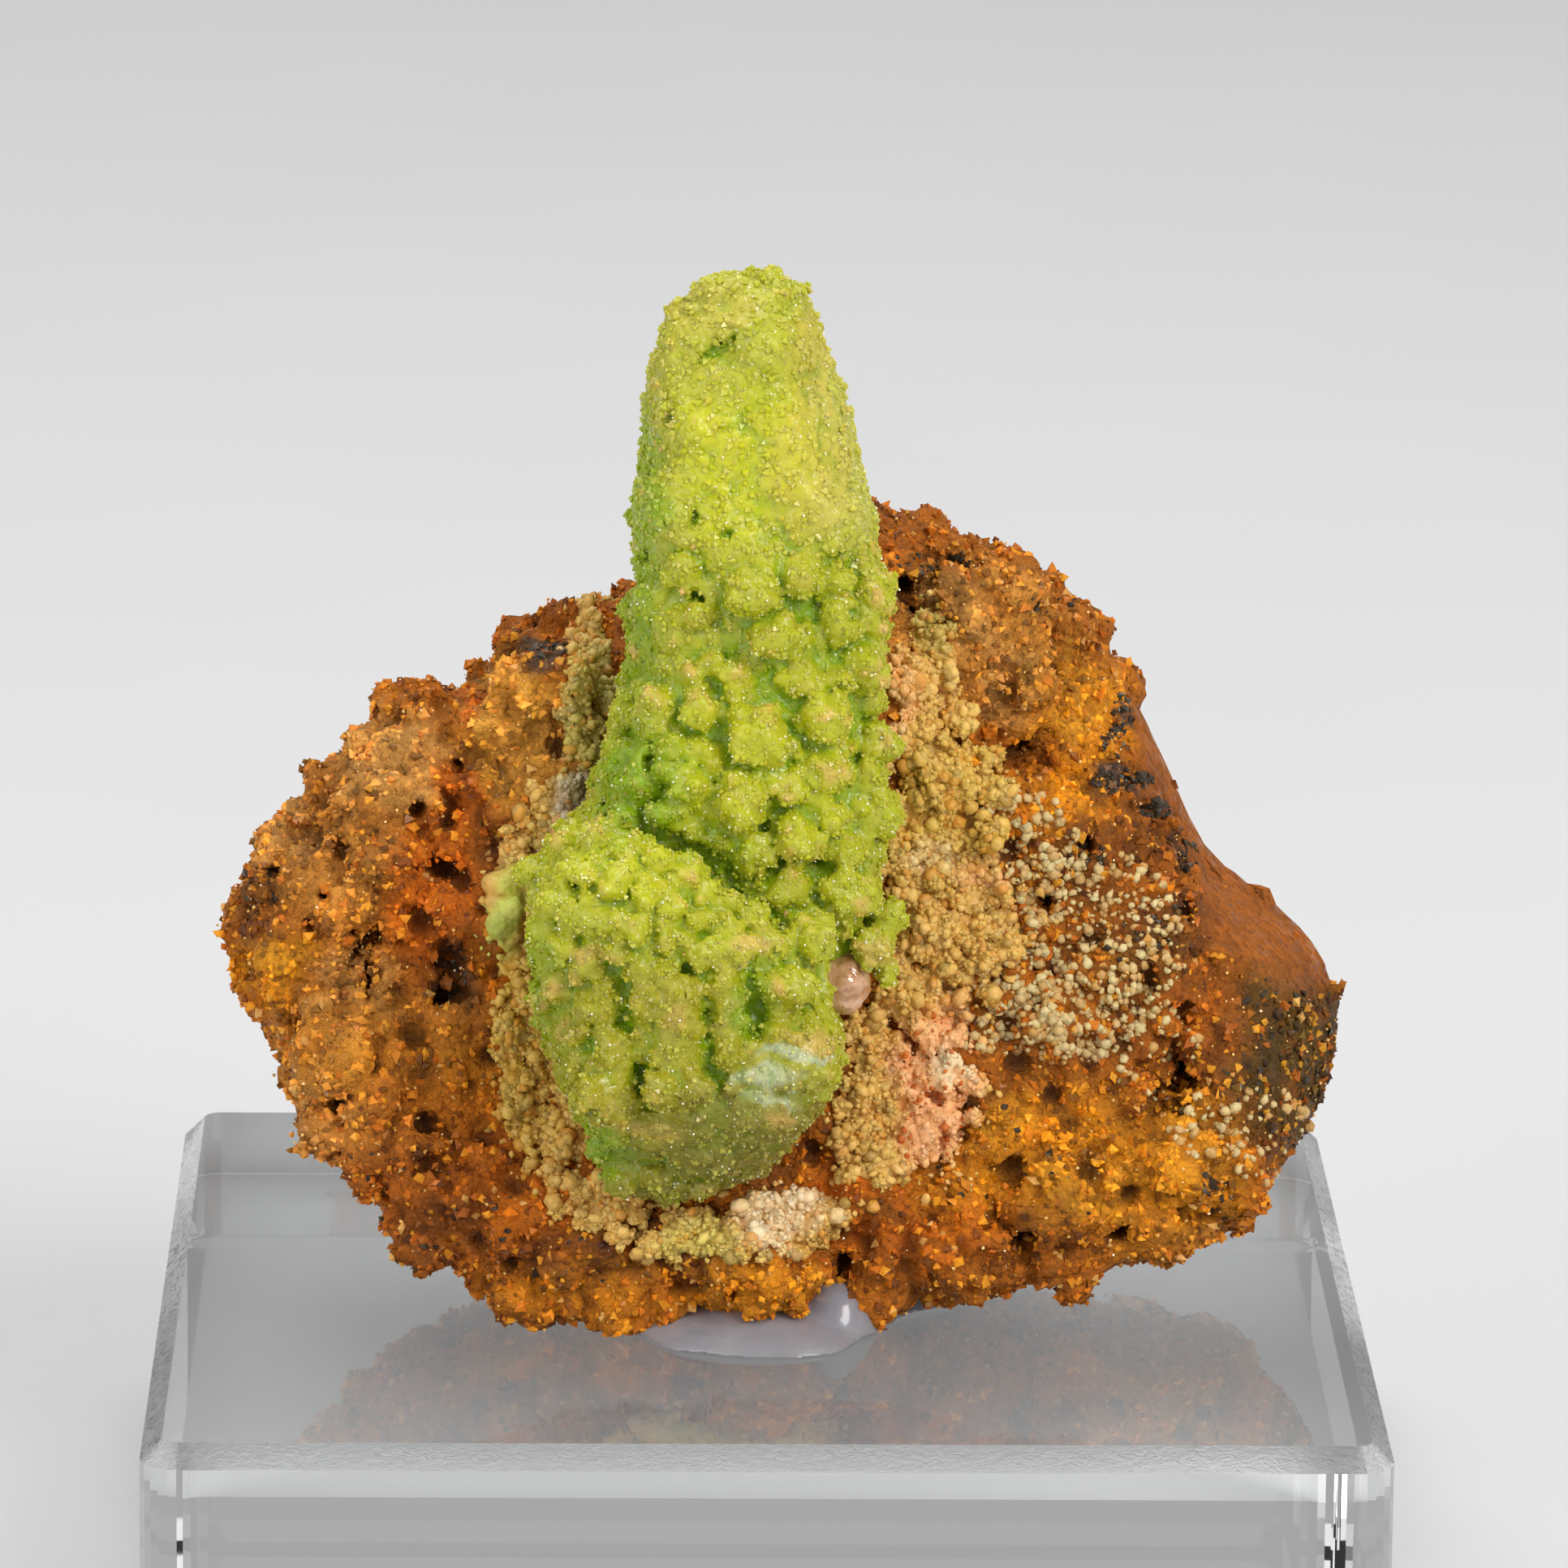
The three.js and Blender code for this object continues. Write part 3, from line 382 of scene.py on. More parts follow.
def noise(points, size, seed):
    """Smooth noise from -1 to 1 with swells of a size in mm."""
    place = points / size
    base = np.floor(place)
    part = (place - base).astype(np.float32)
    base = base.astype(np.int64)
    total = np.zeros(len(points), np.float32)
    for corner, weight in cell_corners(part * part * (3 - 2 * part)):
        total += weight * scramble(*(base + corner).T, seed)
    return 2 * total - 1


def layered_noise(points, size, seed, layers=3, fade=0.5):
    total = np.zeros(len(points), np.float32)
    for n in range(layers):
        total += fade ** n * noise(points, size / 2 ** n, seed + 17 * n)
    return total


# Signed-distance fields

def blurred(values, sigma):
    """Gaussian blur of a 3D array, sigma in cells."""
    reach = max(1, int(round(2.5 * sigma)))
    steps = np.arange(-reach, reach + 1)
    weights = np.exp(-0.5 * (steps / sigma) ** 2)
    weights /= weights.sum()
    for axis in range(3):
        wide = np.pad(values, [(reach, reach) if n == axis else (0, 0) for n in range(3)], mode="edge")
        count = values.shape[axis]
        total = np.zeros_like(values)
        for n, weight in enumerate(weights):
            cut = [slice(None)] * 3
            cut[axis] = slice(n, n + count)
            total += np.float32(weight) * wide[tuple(cut)]
        values = total
    return values


class Field:
    """Signed distance to a skin on a grid in mm, negative inside."""

    def __init__(self, low, high, voxel):
        self.voxel = voxel
        self.first = np.floor(np.array(low) / voxel).astype(int)
        last = np.ceil(np.array(high) / voxel).astype(int)
        self.low = self.first * voxel
        self.value = np.full(tuple(last - self.first + 1), BAND, np.float32)
        self.axes = [self.low[k] + voxel * np.arange(self.value.shape[k]) for k in range(3)]

    def corner(self):
        """The grid's first cell, and its transform, as OpenVDB takes them."""
        return tuple(int(n) for n in self.first), openvdb.createLinearTransform(voxelSize=self.voxel)

    def fill_from(self, node):
        """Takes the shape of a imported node."""
        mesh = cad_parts[node].data
        mesh.calc_loop_triangles()
        points = np.empty(len(mesh.vertices) * 3, np.float32)
        mesh.vertices.foreach_get("co", points)
        faces = np.empty(len(mesh.loop_triangles) * 3, np.int32)
        mesh.loop_triangles.foreach_get("vertices", faces)
        first, transform = self.corner()
        grid = openvdb.FloatGrid.createLevelSetFromPolygons(
            points.reshape(-1, 3) / MM, triangles=faces.reshape(-1, 3).astype(np.uint32),
            transform=transform, halfWidth=BAND / self.voxel,
        )
        grid.copyToArray(self.value, ijk=first)

    def sample(self, points, values=None):
        """Value at points, between the cells."""
        values = self.value if values is None else values
        place = (points - self.low) / self.voxel
        base = np.clip(np.floor(place).astype(int), 0, np.array(values.shape) - 2)
        total = np.zeros(len(points))
        for corner, weight in cell_corners(np.clip(place - base, 0, 1)):
            total += weight * values[tuple((base + corner).T)]
        return total

    def normals(self, points, step=0.4):
        """Outward direction at points."""
        shifts = step * np.eye(3)
        return unit(np.stack([self.sample(points + s) - self.sample(points - s) for s in shifts], -1))

    def near_skin(self, reach):
        """Grid cells near the skin and their places in mm."""
        cells = np.nonzero(np.abs(self.value) < reach)
        return cells, np.stack([self.axes[k][cells[k]] for k in range(3)], -1)

    def push(self, reach, rule):
        """Moves the skin outward by a rule of place."""
        cells, points = self.near_skin(reach)
        self.value[cells] -= rule(points).astype(np.float32)

    def scatter(self, spacing, rng, share=1.0, keep=None):
        """Points on the skin, about one to a cube of a spacing in mm."""
        _, points = self.near_skin(0.6 * self.voxel)
        points = points[rng.permutation(len(points))]
        cube = np.floor(points / spacing).astype(np.int64)
        _, first = np.unique(cube @ (1000003, 1009, 1), return_index=True)
        points = points[np.sort(first)]
        points = points[rng.random(len(points)) < share]
        if keep is not None:
            points = points[keep(points)]
        return points - self.sample(points)[:, None] * self.normals(points)

    def hit(self, x, y):
        """First point of the skin on the line of sight through a picture pixel, or None."""
        sight = FORWARD + ((x - PICTURE_PX / 2) * RIGHT - (y - PICTURE_PX / 2) * UP) / FOCAL_PX
        points = CAMERA_AT + sight * ((SIGHT_STEPS - CAMERA_AT[1]) / sight[1])[:, None]
        inside = np.nonzero(self.sample(points) < 0)[0]
        return points[inside[0]] if len(inside) else None

    def block(self, centre, reach):
        """Cells round a point and their offsets from it."""
        cut = []
        offsets = []
        for k in range(3):
            low = int(np.clip((centre[k] - reach - self.low[k]) / self.voxel, 0, self.value.shape[k] - 1))
            high = int(np.clip((centre[k] + reach - self.low[k]) / self.voxel + 2, 1, self.value.shape[k]))
            cut.append(slice(low, high))
            shape = [-1 if n == k else 1 for n in range(3)]
            offsets.append((self.axes[k][low:high] - centre[k]).reshape(shape))
        return tuple(cut), offsets

    def add_ball(self, centre, radii, blend, turn=0.0, carve=False):
        """Joins a ball with three radii to the solid, or carves it out, turned about Y."""
        radii = np.broadcast_to(np.asarray(radii, float), (3,))
        cut, (dx, dy, dz) = self.block(centre, radii.max() + blend + self.voxel)
        wide = dx * math.cos(turn) + dz * math.sin(turn)
        tall = dz * math.cos(turn) - dx * math.sin(turn)
        span = np.sqrt((wide / radii[0]) ** 2 + (dy / radii[1]) ** 2 + (tall / radii[2]) ** 2)
        distance = (span - 1) * radii.min()
        held = -self.value[cut] if carve else self.value[cut]
        mix = np.clip(0.5 + 0.5 * (held - distance) / blend, 0, 1)
        joined = held * (1 - mix) + distance * mix - blend * mix * (1 - mix)
        self.value[cut] = -joined if carve else joined

    def mesh(self, merge=0.0, least=None):
        """Corner points in mm and triangles of the skin, without its crumbs."""
        grid = openvdb.FloatGrid(BAND)
        first, grid.transform = self.corner()
        grid.copyFromArray(self.value, ijk=first)
        points, triangles, quads = grid.convertToPolygons(isovalue=0.0, adaptivity=merge)
        faces = np.concatenate([triangles, quads[:, [0, 1, 2]], quads[:, [0, 2, 3]]]).astype(np.int64)
        return whole_parts(points.astype(float), faces, least)


def whole_parts(points, faces, least):
    """Keeps the connected parts with enough corners, or the largest one."""
    label = np.arange(len(points))
    while True:
        lowest = np.repeat(label[faces].min(axis=1), faces.shape[1])
        joined = label.copy()
        np.minimum.at(joined, faces.ravel(), lowest)
        joined = joined[joined]
        if (joined == label).all():
            break
        label = joined
    share = np.bincount(label, minlength=len(points))
    kept = share[label] >= (share.max() if least is None else least)
    number = np.cumsum(kept) - 1
    return points[kept], number[faces[kept[faces[:, 0]]]]


# Meshes

def add_piece(name, points, faces, material, slot, *nodes, smooth=True, **painted):
    """A visible piece from points in mm and equal-sided faces, turned to face out.

    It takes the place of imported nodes, and painted values lie on its corners.
    """
    a, b, c = points[faces[:, 0]], points[faces[:, 1]], points[faces[:, 2]]
    if np.einsum("ij,ij->", a, np.cross(b, c)) < 0:
        faces = faces[:, ::-1]
    mesh = bpy.data.meshes.new(name)
    mesh.vertices.add(len(points))
    mesh.vertices.foreach_set("co", (points * MM).astype(np.float32).ravel())
    mesh.loops.add(faces.size)
    mesh.loops.foreach_set("vertex_index", np.ascontiguousarray(faces).astype(np.int32).ravel())
    mesh.polygons.add(len(faces))
    mesh.polygons.foreach_set("loop_start", np.arange(0, faces.size, faces.shape[1], dtype=np.int32))
    mesh.polygons.foreach_set("use_smooth", np.full(len(faces), smooth))
    mesh.update(calc_edges=True)
    mesh.validate()
    made = add_object(name, mesh)
    for layer, values in painted.items():
        paint(made, layer, np.asarray(values, np.float32))
    mesh.materials.append(material)
    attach(made, "root")
    if nodes:
        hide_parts(*nodes)


def paint(made, name, values):
    """Stores a colour or a number at each corner of a mesh."""
    if values.ndim == 2:
        layer = made.data.attributes.new(name, "FLOAT_COLOR", "POINT")
        rgba = np.concatenate([values, np.ones((len(values), 1), np.float32)], 1)
        layer.data.foreach_set("color", rgba.ravel())
    else:
        made.data.attributes.new(name, "FLOAT", "POINT").data.foreach_set("value", values)


def ball_shape():
    """Corners and triangles of a twenty-sided unit ball."""
    ball = bmesh.new()
    bmesh.ops.create_icosphere(ball, subdivisions=1, radius=1.0)
    points = np.array([v.co[:] for v in ball.verts])
    faces = np.array([[v.index for v in f.verts] for f in ball.faces])
    ball.free()
    return points, faces


def octahedron_shape():
    """Corners and triangles of an eight-sided crystal."""
    points = np.array([(1, 0, 0), (0, 1, 0), (-1, 0, 0), (0, -1, 0), (0, 0, 1), (0, 0, -1)], float)
    faces = [(n, (n + 1) % 4, 4) for n in range(4)] + [((n + 1) % 4, n, 5) for n in range(4)]
    return points, np.array(faces)


BALL, OCTAHEDRON = ball_shape(), octahedron_shape()


def unit(vectors):
    return vectors / (np.linalg.norm(vectors, axis=1, keepdims=True) + 1e-9)


def along(normals, rng, wobble=0.9):
    """Random turns that send Z roughly along each direction."""
    normals = unit(normals + wobble * unit(rng.normal(size=normals.shape)))
    side = unit(np.cross(normals, rng.normal(size=normals.shape)))
    return np.stack([side, np.cross(normals, side), normals], -1)


def any_way(count, rng):
    """Random turns of any kind."""
    return along(np.zeros((count, 3)), rng, 1.0)


def varied(size, rng, least, spread):
    """Three sizes for each copy, each a random share of its own size."""
    return size[:, None] * (least + spread * rng.random((len(size), 3)))


def joined_copies(shape, centres, sizes, turns):
    """Many copies of a shape as one list of points and faces, and the copy that each point is in."""
    points, faces = shape
    count = len(centres)
    placed = np.einsum("nij,nkj->nki", turns, points[None] * sizes[:, None]) + centres[:, None]
    numbered = faces[None] + (np.arange(count) * len(points))[:, None, None]
    owner = np.repeat(np.arange(count), len(points))
    return placed.reshape(-1, 3), numbered.reshape(-1, faces.shape[1]), owner


# Tones

def patch_reach(seen, x, y, wide, tall):
    """How far picture places lie from a patch's middle: 1 at its edge."""
    return np.sqrt(((seen[:, 0] - x) / wide) ** 2 + ((seen[:, 1] - y) / tall) ** 2)


def toward(tone, other, share):
    """Tones moved some share of the way to another."""
    return tone + (np.asarray(other) - tone) * share[:, None]


def tones_at(points, base, patches, seed, wander=16.0, limit_y=6.0):
    """Colour at each point: a base tone with patches that fade along ragged edges and to the back."""
    colour = np.broadcast_to(np.asarray(base, float), (len(points), 3))
    ragged = np.stack([layered_noise(points, 2.2, seed + shift, 3, 0.7) for shift in (0, 5)], -1)
    seen = in_picture(points) + wander * ragged
    for tone, x, y, wide, tall, strength in patches:
        weight = strength * np.clip((1.25 - patch_reach(seen, x, y, wide, tall)) / 0.5, 0, 1)
        colour = toward(colour, tone, weight * np.clip((limit_y - points[:, 1]) / 2, 0, 1))
    return colour


def inside_patches(points, patches):
    """How far points are inside any of some patches: 1 in the middle, 0 at the edge, less outside."""
    seen = in_picture(points)
    best = np.full(len(points), -2.0)
    for x, y, wide, tall in patches:
        best = np.maximum(best, 1.0 - patch_reach(seen, x, y, wide, tall))
    return best


# Shader helpers

def new_material(name, settings):
    """A material, its node tree and its shader with some uniform settings."""
    material = bpy.data.materials.new(name)
    material.use_nodes = True
    shader = material.node_tree.nodes["Principled BSDF"]
    for key, value in settings.items():
        shader.inputs[key].default_value = value
    return material, material.node_tree, shader


def node(tree, kind, inputs=None, **settings):
    """A node with its own settings, and inputs that are linked or set."""
    made = tree.nodes.new(kind)
    for key, value in settings.items():
        setattr(made, key, value)
    for key, value in (inputs or {}).items():
        if isinstance(value, bpy.types.NodeSocket):
            tree.links.new(value, made.inputs[key])
        else:
            made.inputs[key].default_value = (*value, 1.0) if isinstance(value, tuple) else value
    return made


def place_of(tree, kind="Object"):
    return node(tree, "ShaderNodeTexCoord").outputs[kind]


def noise_value(tree, size_mm, detail=3.0, rough=0.55):
    return node(tree, "ShaderNodeTexNoise", {
        "Vector": place_of(tree), "Scale": 1 / (size_mm * MM), "Detail": detail, "Roughness": rough,
    }).outputs["Fac"]


def ramp(tree, source, low, high, out_low=0.0, out_high=1.0):
    return node(tree, "ShaderNodeMapRange", {
        "Value": source, "From Min": low, "From Max": high, "To Min": out_low, "To Max": out_high,
    }).outputs["Result"]


def mix(tree, factor, first, second, blend="MIX"):
    inputs = {0: factor, 6: first, 7: second}
    return node(tree, "ShaderNodeMix", inputs, data_type="RGBA", blend_type=blend).outputs[2]


def maths(tree, operation, first, second=0.5):
    return node(tree, "ShaderNodeMath", {0: first, 1: second}, operation=operation).outputs[0]


def stored(tree, name, output="Fac"):
    return node(tree, "ShaderNodeAttribute", attribute_name=name, attribute_type="GEOMETRY").outputs[output]


def bump(tree, shader, layers):
    """Chains bumps of (height, distance in mm, strength) into a shader's normal."""
    inputs = {}
    for height, distance, strength in layers:
        inputs |= {"Height": height, "Distance": distance * MM, "Strength": strength}
        inputs["Normal"] = node(tree, "ShaderNodeBump", inputs).outputs["Normal"]
    tree.links.new(inputs["Normal"], shader.inputs["Normal"])


def clouded(tree, shader, source, first, second, high=0.7):
    """Colours a shader between two tones by a noise."""
    tree.links.new(mix(tree, ramp(tree, source, 0.35, high), first, second), shader.inputs["Base Color"])


def grain_shade(tree, size_mm):
    """Two random values for each grain, and a dome over it."""
    cell = node(tree, "ShaderNodeTexVoronoi", {"Vector": place_of(tree), "Scale": 1 / (size_mm * MM)})
    parts = node(tree, "ShaderNodeSeparateColor", {"Color": cell.outputs["Color"]})
    return parts.outputs[0], parts.outputs[1], ramp(tree, cell.outputs["Distance"], 0.0, 0.7, 1.0, 0.0)


def tinted(tree, shader, tone, layers, last):
    """Colours a shader by a tone with tints laid over it, and a last one where a stored value asks for it.

    A layer is (source, low, high, most, share, tint): it rises with the source up to its most, and its colour
    lies a share of the way from the tone to the tint.
    """
    colour = tone
    for source, low, high, most, share, tint in layers:
        colour = mix(tree, ramp(tree, source, low, high, 0.0, most), colour, mix(tree, share, tone, tint))
    tree.links.new(mix(tree, stored(tree, last[0]), colour, last[1]), shader.inputs["Base Color"])


# Materials

def crystal_material(name, smooth_skin):
    """Translucent lime druse: tone and dust from the mesh, grain and specks from noise."""
    material, tree, shader = new_material(name, {
        "IOR": 1.6, "Specular IOR Level": 0.32,
        "Subsurface Weight": 0.55, "Subsurface Radius": (1.0, 1.0, 0.15), "Subsurface Scale": 0.35 * MM,
    })
    shade, other, dots = grain_shade(tree, 0.3)
    fine = noise_value(tree, 0.45, 4.0, 0.7)
    tinted(tree, shader, stored(tree, "tone", "Color"), [
        (shade, 0.3, 1.0, 0.35, 0.5, FROST_AND_RIM_LIGHT),
        (fine, 0.50, 0.72, 0.35, 0.5, LEAF_GREEN_AND_SHADE),
        (noise_value(tree, 0.28, 3.0, 0.75), 0.60, 0.68, 0.45, 1.0, DUST),
    ], ("dust", DUST))
    tree.links.new(ramp(tree, other, 0.0, 1.0, 0.08, 0.45), shader.inputs["Roughness"])
    if smooth_skin:
        bump(tree, shader, [(dots, 0.06, 0.6), (fine, 0.08, 0.5), (noise_value(tree, 0.14, 2.0), 0.04, 0.6)])
    return material


def rock_material(name, smooth_skin):
    """Granular iron oxide: tone from the mesh, grains each of its own tone, and painted shade that darkens
    the hollows.
    """
    material, tree, shader = new_material(name, {"Specular IOR Level": 0.3})
    tone = stored(tree, "tone", "Color")
    shade, other, dots = grain_shade(tree, 0.38)
    coarse = noise_value(tree, 1.5, 5.0, 0.7)
    fine = noise_value(tree, 0.3, 4.0, 0.75)
    # Painted shade: the stored depth of the pits and dips darkens the rock toward umber there.
    tinted(tree, shader, tone, [
        (shade, 0.45, 1.0, 0.7, 1.0, mix(tree, 1.0, tone, (1.45, 1.5, 1.6), "MULTIPLY")),
        (coarse, 0.50, 0.70, 0.5, 0.6, EMBER),
        (fine, 0.52, 0.74, 0.7, 0.7, UMBER),
    ], ("hollow", UMBER))
    tree.links.new(ramp(tree, other, 0.55, 0.95, 0.8, 0.15), shader.inputs["Roughness"])
    skin = [(dots, 0.22, 0.9), (fine, 0.28, 0.9), (coarse, 0.2, 0.4)]
    bump(tree, shader, skin if smooth_skin else [(fine, 0.08, 0.5)])
    return material


def crust_material(name):
    """Waxy cream botryoids."""
    material, tree, shader = new_material(name, {
        "Roughness": 0.4, "Specular IOR Level": 0.3,
        "Subsurface Weight": 0.4, "Subsurface Radius": (1.0, 0.8, 0.5), "Subsurface Scale": 0.2 * MM,
    })
    tone = stored(tree, "tone", "Color")
    shade, _, dots = grain_shade(tree, 0.35)
    # Painted shade with an orange tint: the stored depth of the gaps between the beads darkens the crust
    # toward ember.
    tinted(tree, shader, tone, [
        (shade, 0.3, 1.0, 0.3, 0.4, CHALK),
        (noise_value(tree, 1.0, 4.0, 0.65), 0.48, 0.72, 0.5, 0.5, GOLD),
    ], ("hollow", mix(tree, 0.75, tone, EMBER)))
    bump(tree, shader, [(dots, 0.08, 0.7), (noise_value(tree, 0.25, 3.0, 0.6), 0.08, 0.6)])
    return material


def painted_glint_material(name, tone):
    """Small glassy crystal faces: glossy, clouded between a pale tone and a paler one that are painted
    highlights.
    """
    material, tree, shader = new_material(name, {"Roughness": 0.12, "IOR": 1.9})
    clouded(tree, shader, noise_value(tree, 0.8, 2.0), tone, tuple(min(1.0, 1.25 * c + 0.1) for c in tone))
    return material


def metal_material():
    """Black, silvery iron oxide faces."""
    material, tree, shader = new_material("black_glance", {
        "Roughness": 0.3, "IOR": 1.5, "Specular Tint": (1.0, 0.88, 0.72, 1.0),
    })
    clouded(tree, shader, noise_value(tree, 0.5, 2.0), (0.012, 0.008, 0.005), (0.06, 0.045, 0.03))
    return material


def cerussite_material():
    """Pinkish, glassy, cloudy."""
    material, tree, shader = new_material("cerussite", {
        "Roughness": 0.15, "IOR": 1.9,
        "Subsurface Weight": 0.5, "Subsurface Radius": (1.0, 0.6, 0.4), "Subsurface Scale": 0.6 * MM,
    })
    cloud = noise_value(tree, 0.6, 3.0, 0.6)
    clouded(tree, shader, cloud, (0.40, 0.185, 0.075), (0.68, 0.41, 0.24), 0.65)
    bump(tree, shader, [(cloud, 0.2, 0.6), (noise_value(tree, 0.2, 2.0), 0.05, 0.5)])
    return material


def putty_material():
    """Bluish translucent tack."""
    material, tree, shader = new_material("putty", {
        "Roughness": 0.16, "IOR": 1.46, "Transmission Weight": 0.6,
        "Subsurface Weight": 0.4, "Subsurface Radius": (0.8, 0.9, 1.0), "Subsurface Scale": 2.0 * MM,
    })
    cloud = noise_value(tree, 2.5, 3.0, 0.5)
    clouded(tree, shader, cloud, (0.56, 0.57, 0.66), (0.70, 0.71, 0.79), 0.65)
    bump(tree, shader, [(cloud, 0.3, 0.25)])
    return material


def acrylic_material():
    """Clear acrylic: polished faces, side bevels left slightly rough by the saw."""
    material, tree, shader = new_material("clear_acrylic", {
        "Base Color": (0.96, 0.98, 0.985, 1.0), "IOR": 1.49, "Transmission Weight": 1.0,
    })
    facing = node(tree, "ShaderNodeSeparateXYZ", {"Vector": place_of(tree, "Normal")}).outputs
    rising, level = ramp(tree, facing[2], 0.15, 0.3), ramp(tree, facing[2], 0.90, 0.98, 1.0, 0.0)
    at_sides = ramp(tree, maths(tree, "ABSOLUTE", facing[0]), 0.2, 0.5, 0.3, 1.0)
    bevel = maths(tree, "MULTIPLY", maths(tree, "MULTIPLY", rising, level), at_sides)
    specks = noise_value(tree, 0.35, 4.0, 0.8)
    sawn = maths(tree, "MULTIPLY", bevel, ramp(tree, specks, 0.40, 0.60, 0.15, 0.55))
    smear = ramp(tree, noise_value(tree, 6.0, 4.0, 0.7), 0.55, 0.8, 0.01, 0.05)
    tree.links.new(maths(tree, "ADD", sawn, smear), shader.inputs["Roughness"])
    bump(tree, shader, [(maths(tree, "MULTIPLY", bevel, specks), 0.12, 0.5)])
    return material


def floor_material():
    material, tree, shader = new_material("pale_floor", {"Roughness": 0.7})
    colour = mix(tree, noise_value(tree, 40.0, 2.0), (0.66, 0.66, 0.67), (0.69, 0.69, 0.70))
    tree.links.new(colour, shader.inputs["Base Color"])
    return material


# Shaping

def node_field(name, voxel, low_margin, high_margin):
    """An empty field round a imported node, with room on each side in mm."""
    low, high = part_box(name)
    return Field(np.array(low) / MM - low_margin, np.array(high) / MM + high_margin, voxel)


def add_lumps(field, lumps, sink, blend):
    """Adds lumps seen at pixels, their centres sunk below the bare skin by a share of their radius."""
    placed = []
    for x, y, wide, tall in lumps:
        skin = field.hit(x, y)
        if skin is not None:
            radii = np.array([wide, 0.5 * (wide + tall), tall]) / PX_PER_MM
            placed.append((skin - field.normals(skin[None], 1.0)[0] * radii.min() * sink, radii))
    for centre, radii in placed:
        field.add_ball(centre, radii, blend)


def press(field, x, y, wide, tall, deep, turn, blend, carve=True):
    """Carves a pit in the skin seen at a pixel, or raises a plate there."""
    skin = field.hit(x, y)
    if skin is not None:
        field.add_ball(skin, (wide / PX_PER_MM, deep, tall / PX_PER_MM), blend, math.radians(turn), carve)


def along_path(bends, step):
    """Points a step apart along a line with bends, all in pixels."""
    for (x0, y0), (x1, y1) in zip(bends, bends[1:]):
        count = max(1, round(math.hypot(x1 - x0, y1 - y0) / step))
        for n in range(count):
            yield x0 + (x1 - x0) * n / count, y0 + (y1 - y0) * n / count


def scatter_balls(field, rng, spacing, smallest, largest, sink, blend, share=1.0, keep=None):
    """Covers the skin with balls of random size."""
    centres = field.scatter(spacing, rng, share, keep)
    away = field.normals(centres)
    sizes = smallest + (largest - smallest) * rng.random(len(centres)) ** 1.5
    for centre, direction, size in zip(centres, away, sizes):
        field.add_ball(centre - direction * size * sink, size, blend)


def scatter_pits(field, rng, spacing, smallest, largest, share, keep=None):
    centres = field.scatter(spacing, rng, share, keep)
    sizes = smallest + (largest - smallest) * rng.random(len(centres)) ** 2
    for centre, size in zip(centres, sizes):
        field.add_ball(centre, size, 0.10, carve=True)


def hollows(field, points, sigma, low, high):
    """How deep each point lies between its neighbours, 0 to 1, and the bend it was read from."""
    bend = field.sample(points, blurred(np.clip(field.value, -1.2, 1.2), sigma / field.voxel))
    return np.clip((low - bend) / (low - high), 0, 1), bend


# Crystal

def crystal_field(rng):
    """Steeple and lobe with their lumps, fingers and pits."""
    field = node_field("phosphohedyphane_crystal", CRYSTAL_VOXEL, 1.2, 1.2)
    field.fill_from("phosphohedyphane_crystal")
    field.value = blurred(field.value, 0.45 / CRYSTAL_VOXEL)
    field.value += 0.08

    def swell(points):
        lower = np.clip((47 - points[:, 2]) / 3, 0, 1)
        return (0.10 + 0.16 * lower) * noise(points, 2.2, 11) + 0.10 * noise(points, 1.1, 12) - 0.55 * lower

    field.push(1.6, swell)
    for x, y, wide, tall, depth in CRYSTAL_RECESSES:
        press(field, x, y, wide, tall, depth, 0, 0.3)
    add_lumps(field, CRYSTAL_BULGES, 0.7, 0.4)
    for x, y in along_path(CRYSTAL_VALLEY, 10):
        press(field, x, y, 22, 16, 0.22, 0, 0.45)
    for x, y, wide, tall in EDGE_LUMPS:
        centre = field.hit(x - EDGE_STEP, y) + RIGHT * EDGE_STEP / PX_PER_MM
        field.add_ball(centre, np.array((wide, wide, tall)) / PX_PER_MM, 0.08)
    fingers = [
        (x, y, wide, wide) for x, top, foot, wide in CRYSTAL_FINGERS for y in np.arange(top, foot + 1, 10)
    ]
    add_lumps(field, fingers, 0.0, 0.12)
    add_lumps(field, CRYSTAL_LUMPS, 0.0, 0.05)

    def in_front(points):
        return points[:, 1] < 1.5

    def steeple(points):
        return in_front(points) & (points[:, 2] > 31) & (points[:, 2] < 46 + 2 * noise(points, 3, 5))

    def lobe(points):
        return in_front(points) & (points[:, 2] <= 32) & (inside_patches(points, [STREAKY_PATCH]) <= 0.2)

    def fine_druse(points):
        sparse = scramble(*np.floor(points / 0.6).astype(np.int64).T, 51) > 0.4
        return in_front(points) & ((points[:, 2] > 45) | sparse)

    scatter_balls(field, rng, 1.0, 0.34, 0.60, 0.32, 0.05, 0.75, steeple)
    scatter_balls(field, rng, 0.85, 0.26, 0.44, 0.32, 0.04, 0.6, lobe)
    for x, y, wide, tall, turn in CRYSTAL_PITS:
        press(field, x, y, wide, tall, 0.5, turn, 0.12)
    scatter_pits(field, rng, 1.8, 0.15, 0.32, 0.35, in_front)
    scatter_balls(field, rng, 0.60, 0.20, 0.34, 0.35, 0.05, 0.85, fine_druse)
    field.push(0.6, lambda points: 0.05 * noise(points, 0.5, 31) + 0.05 * noise(points, 0.28, 32))
    return field


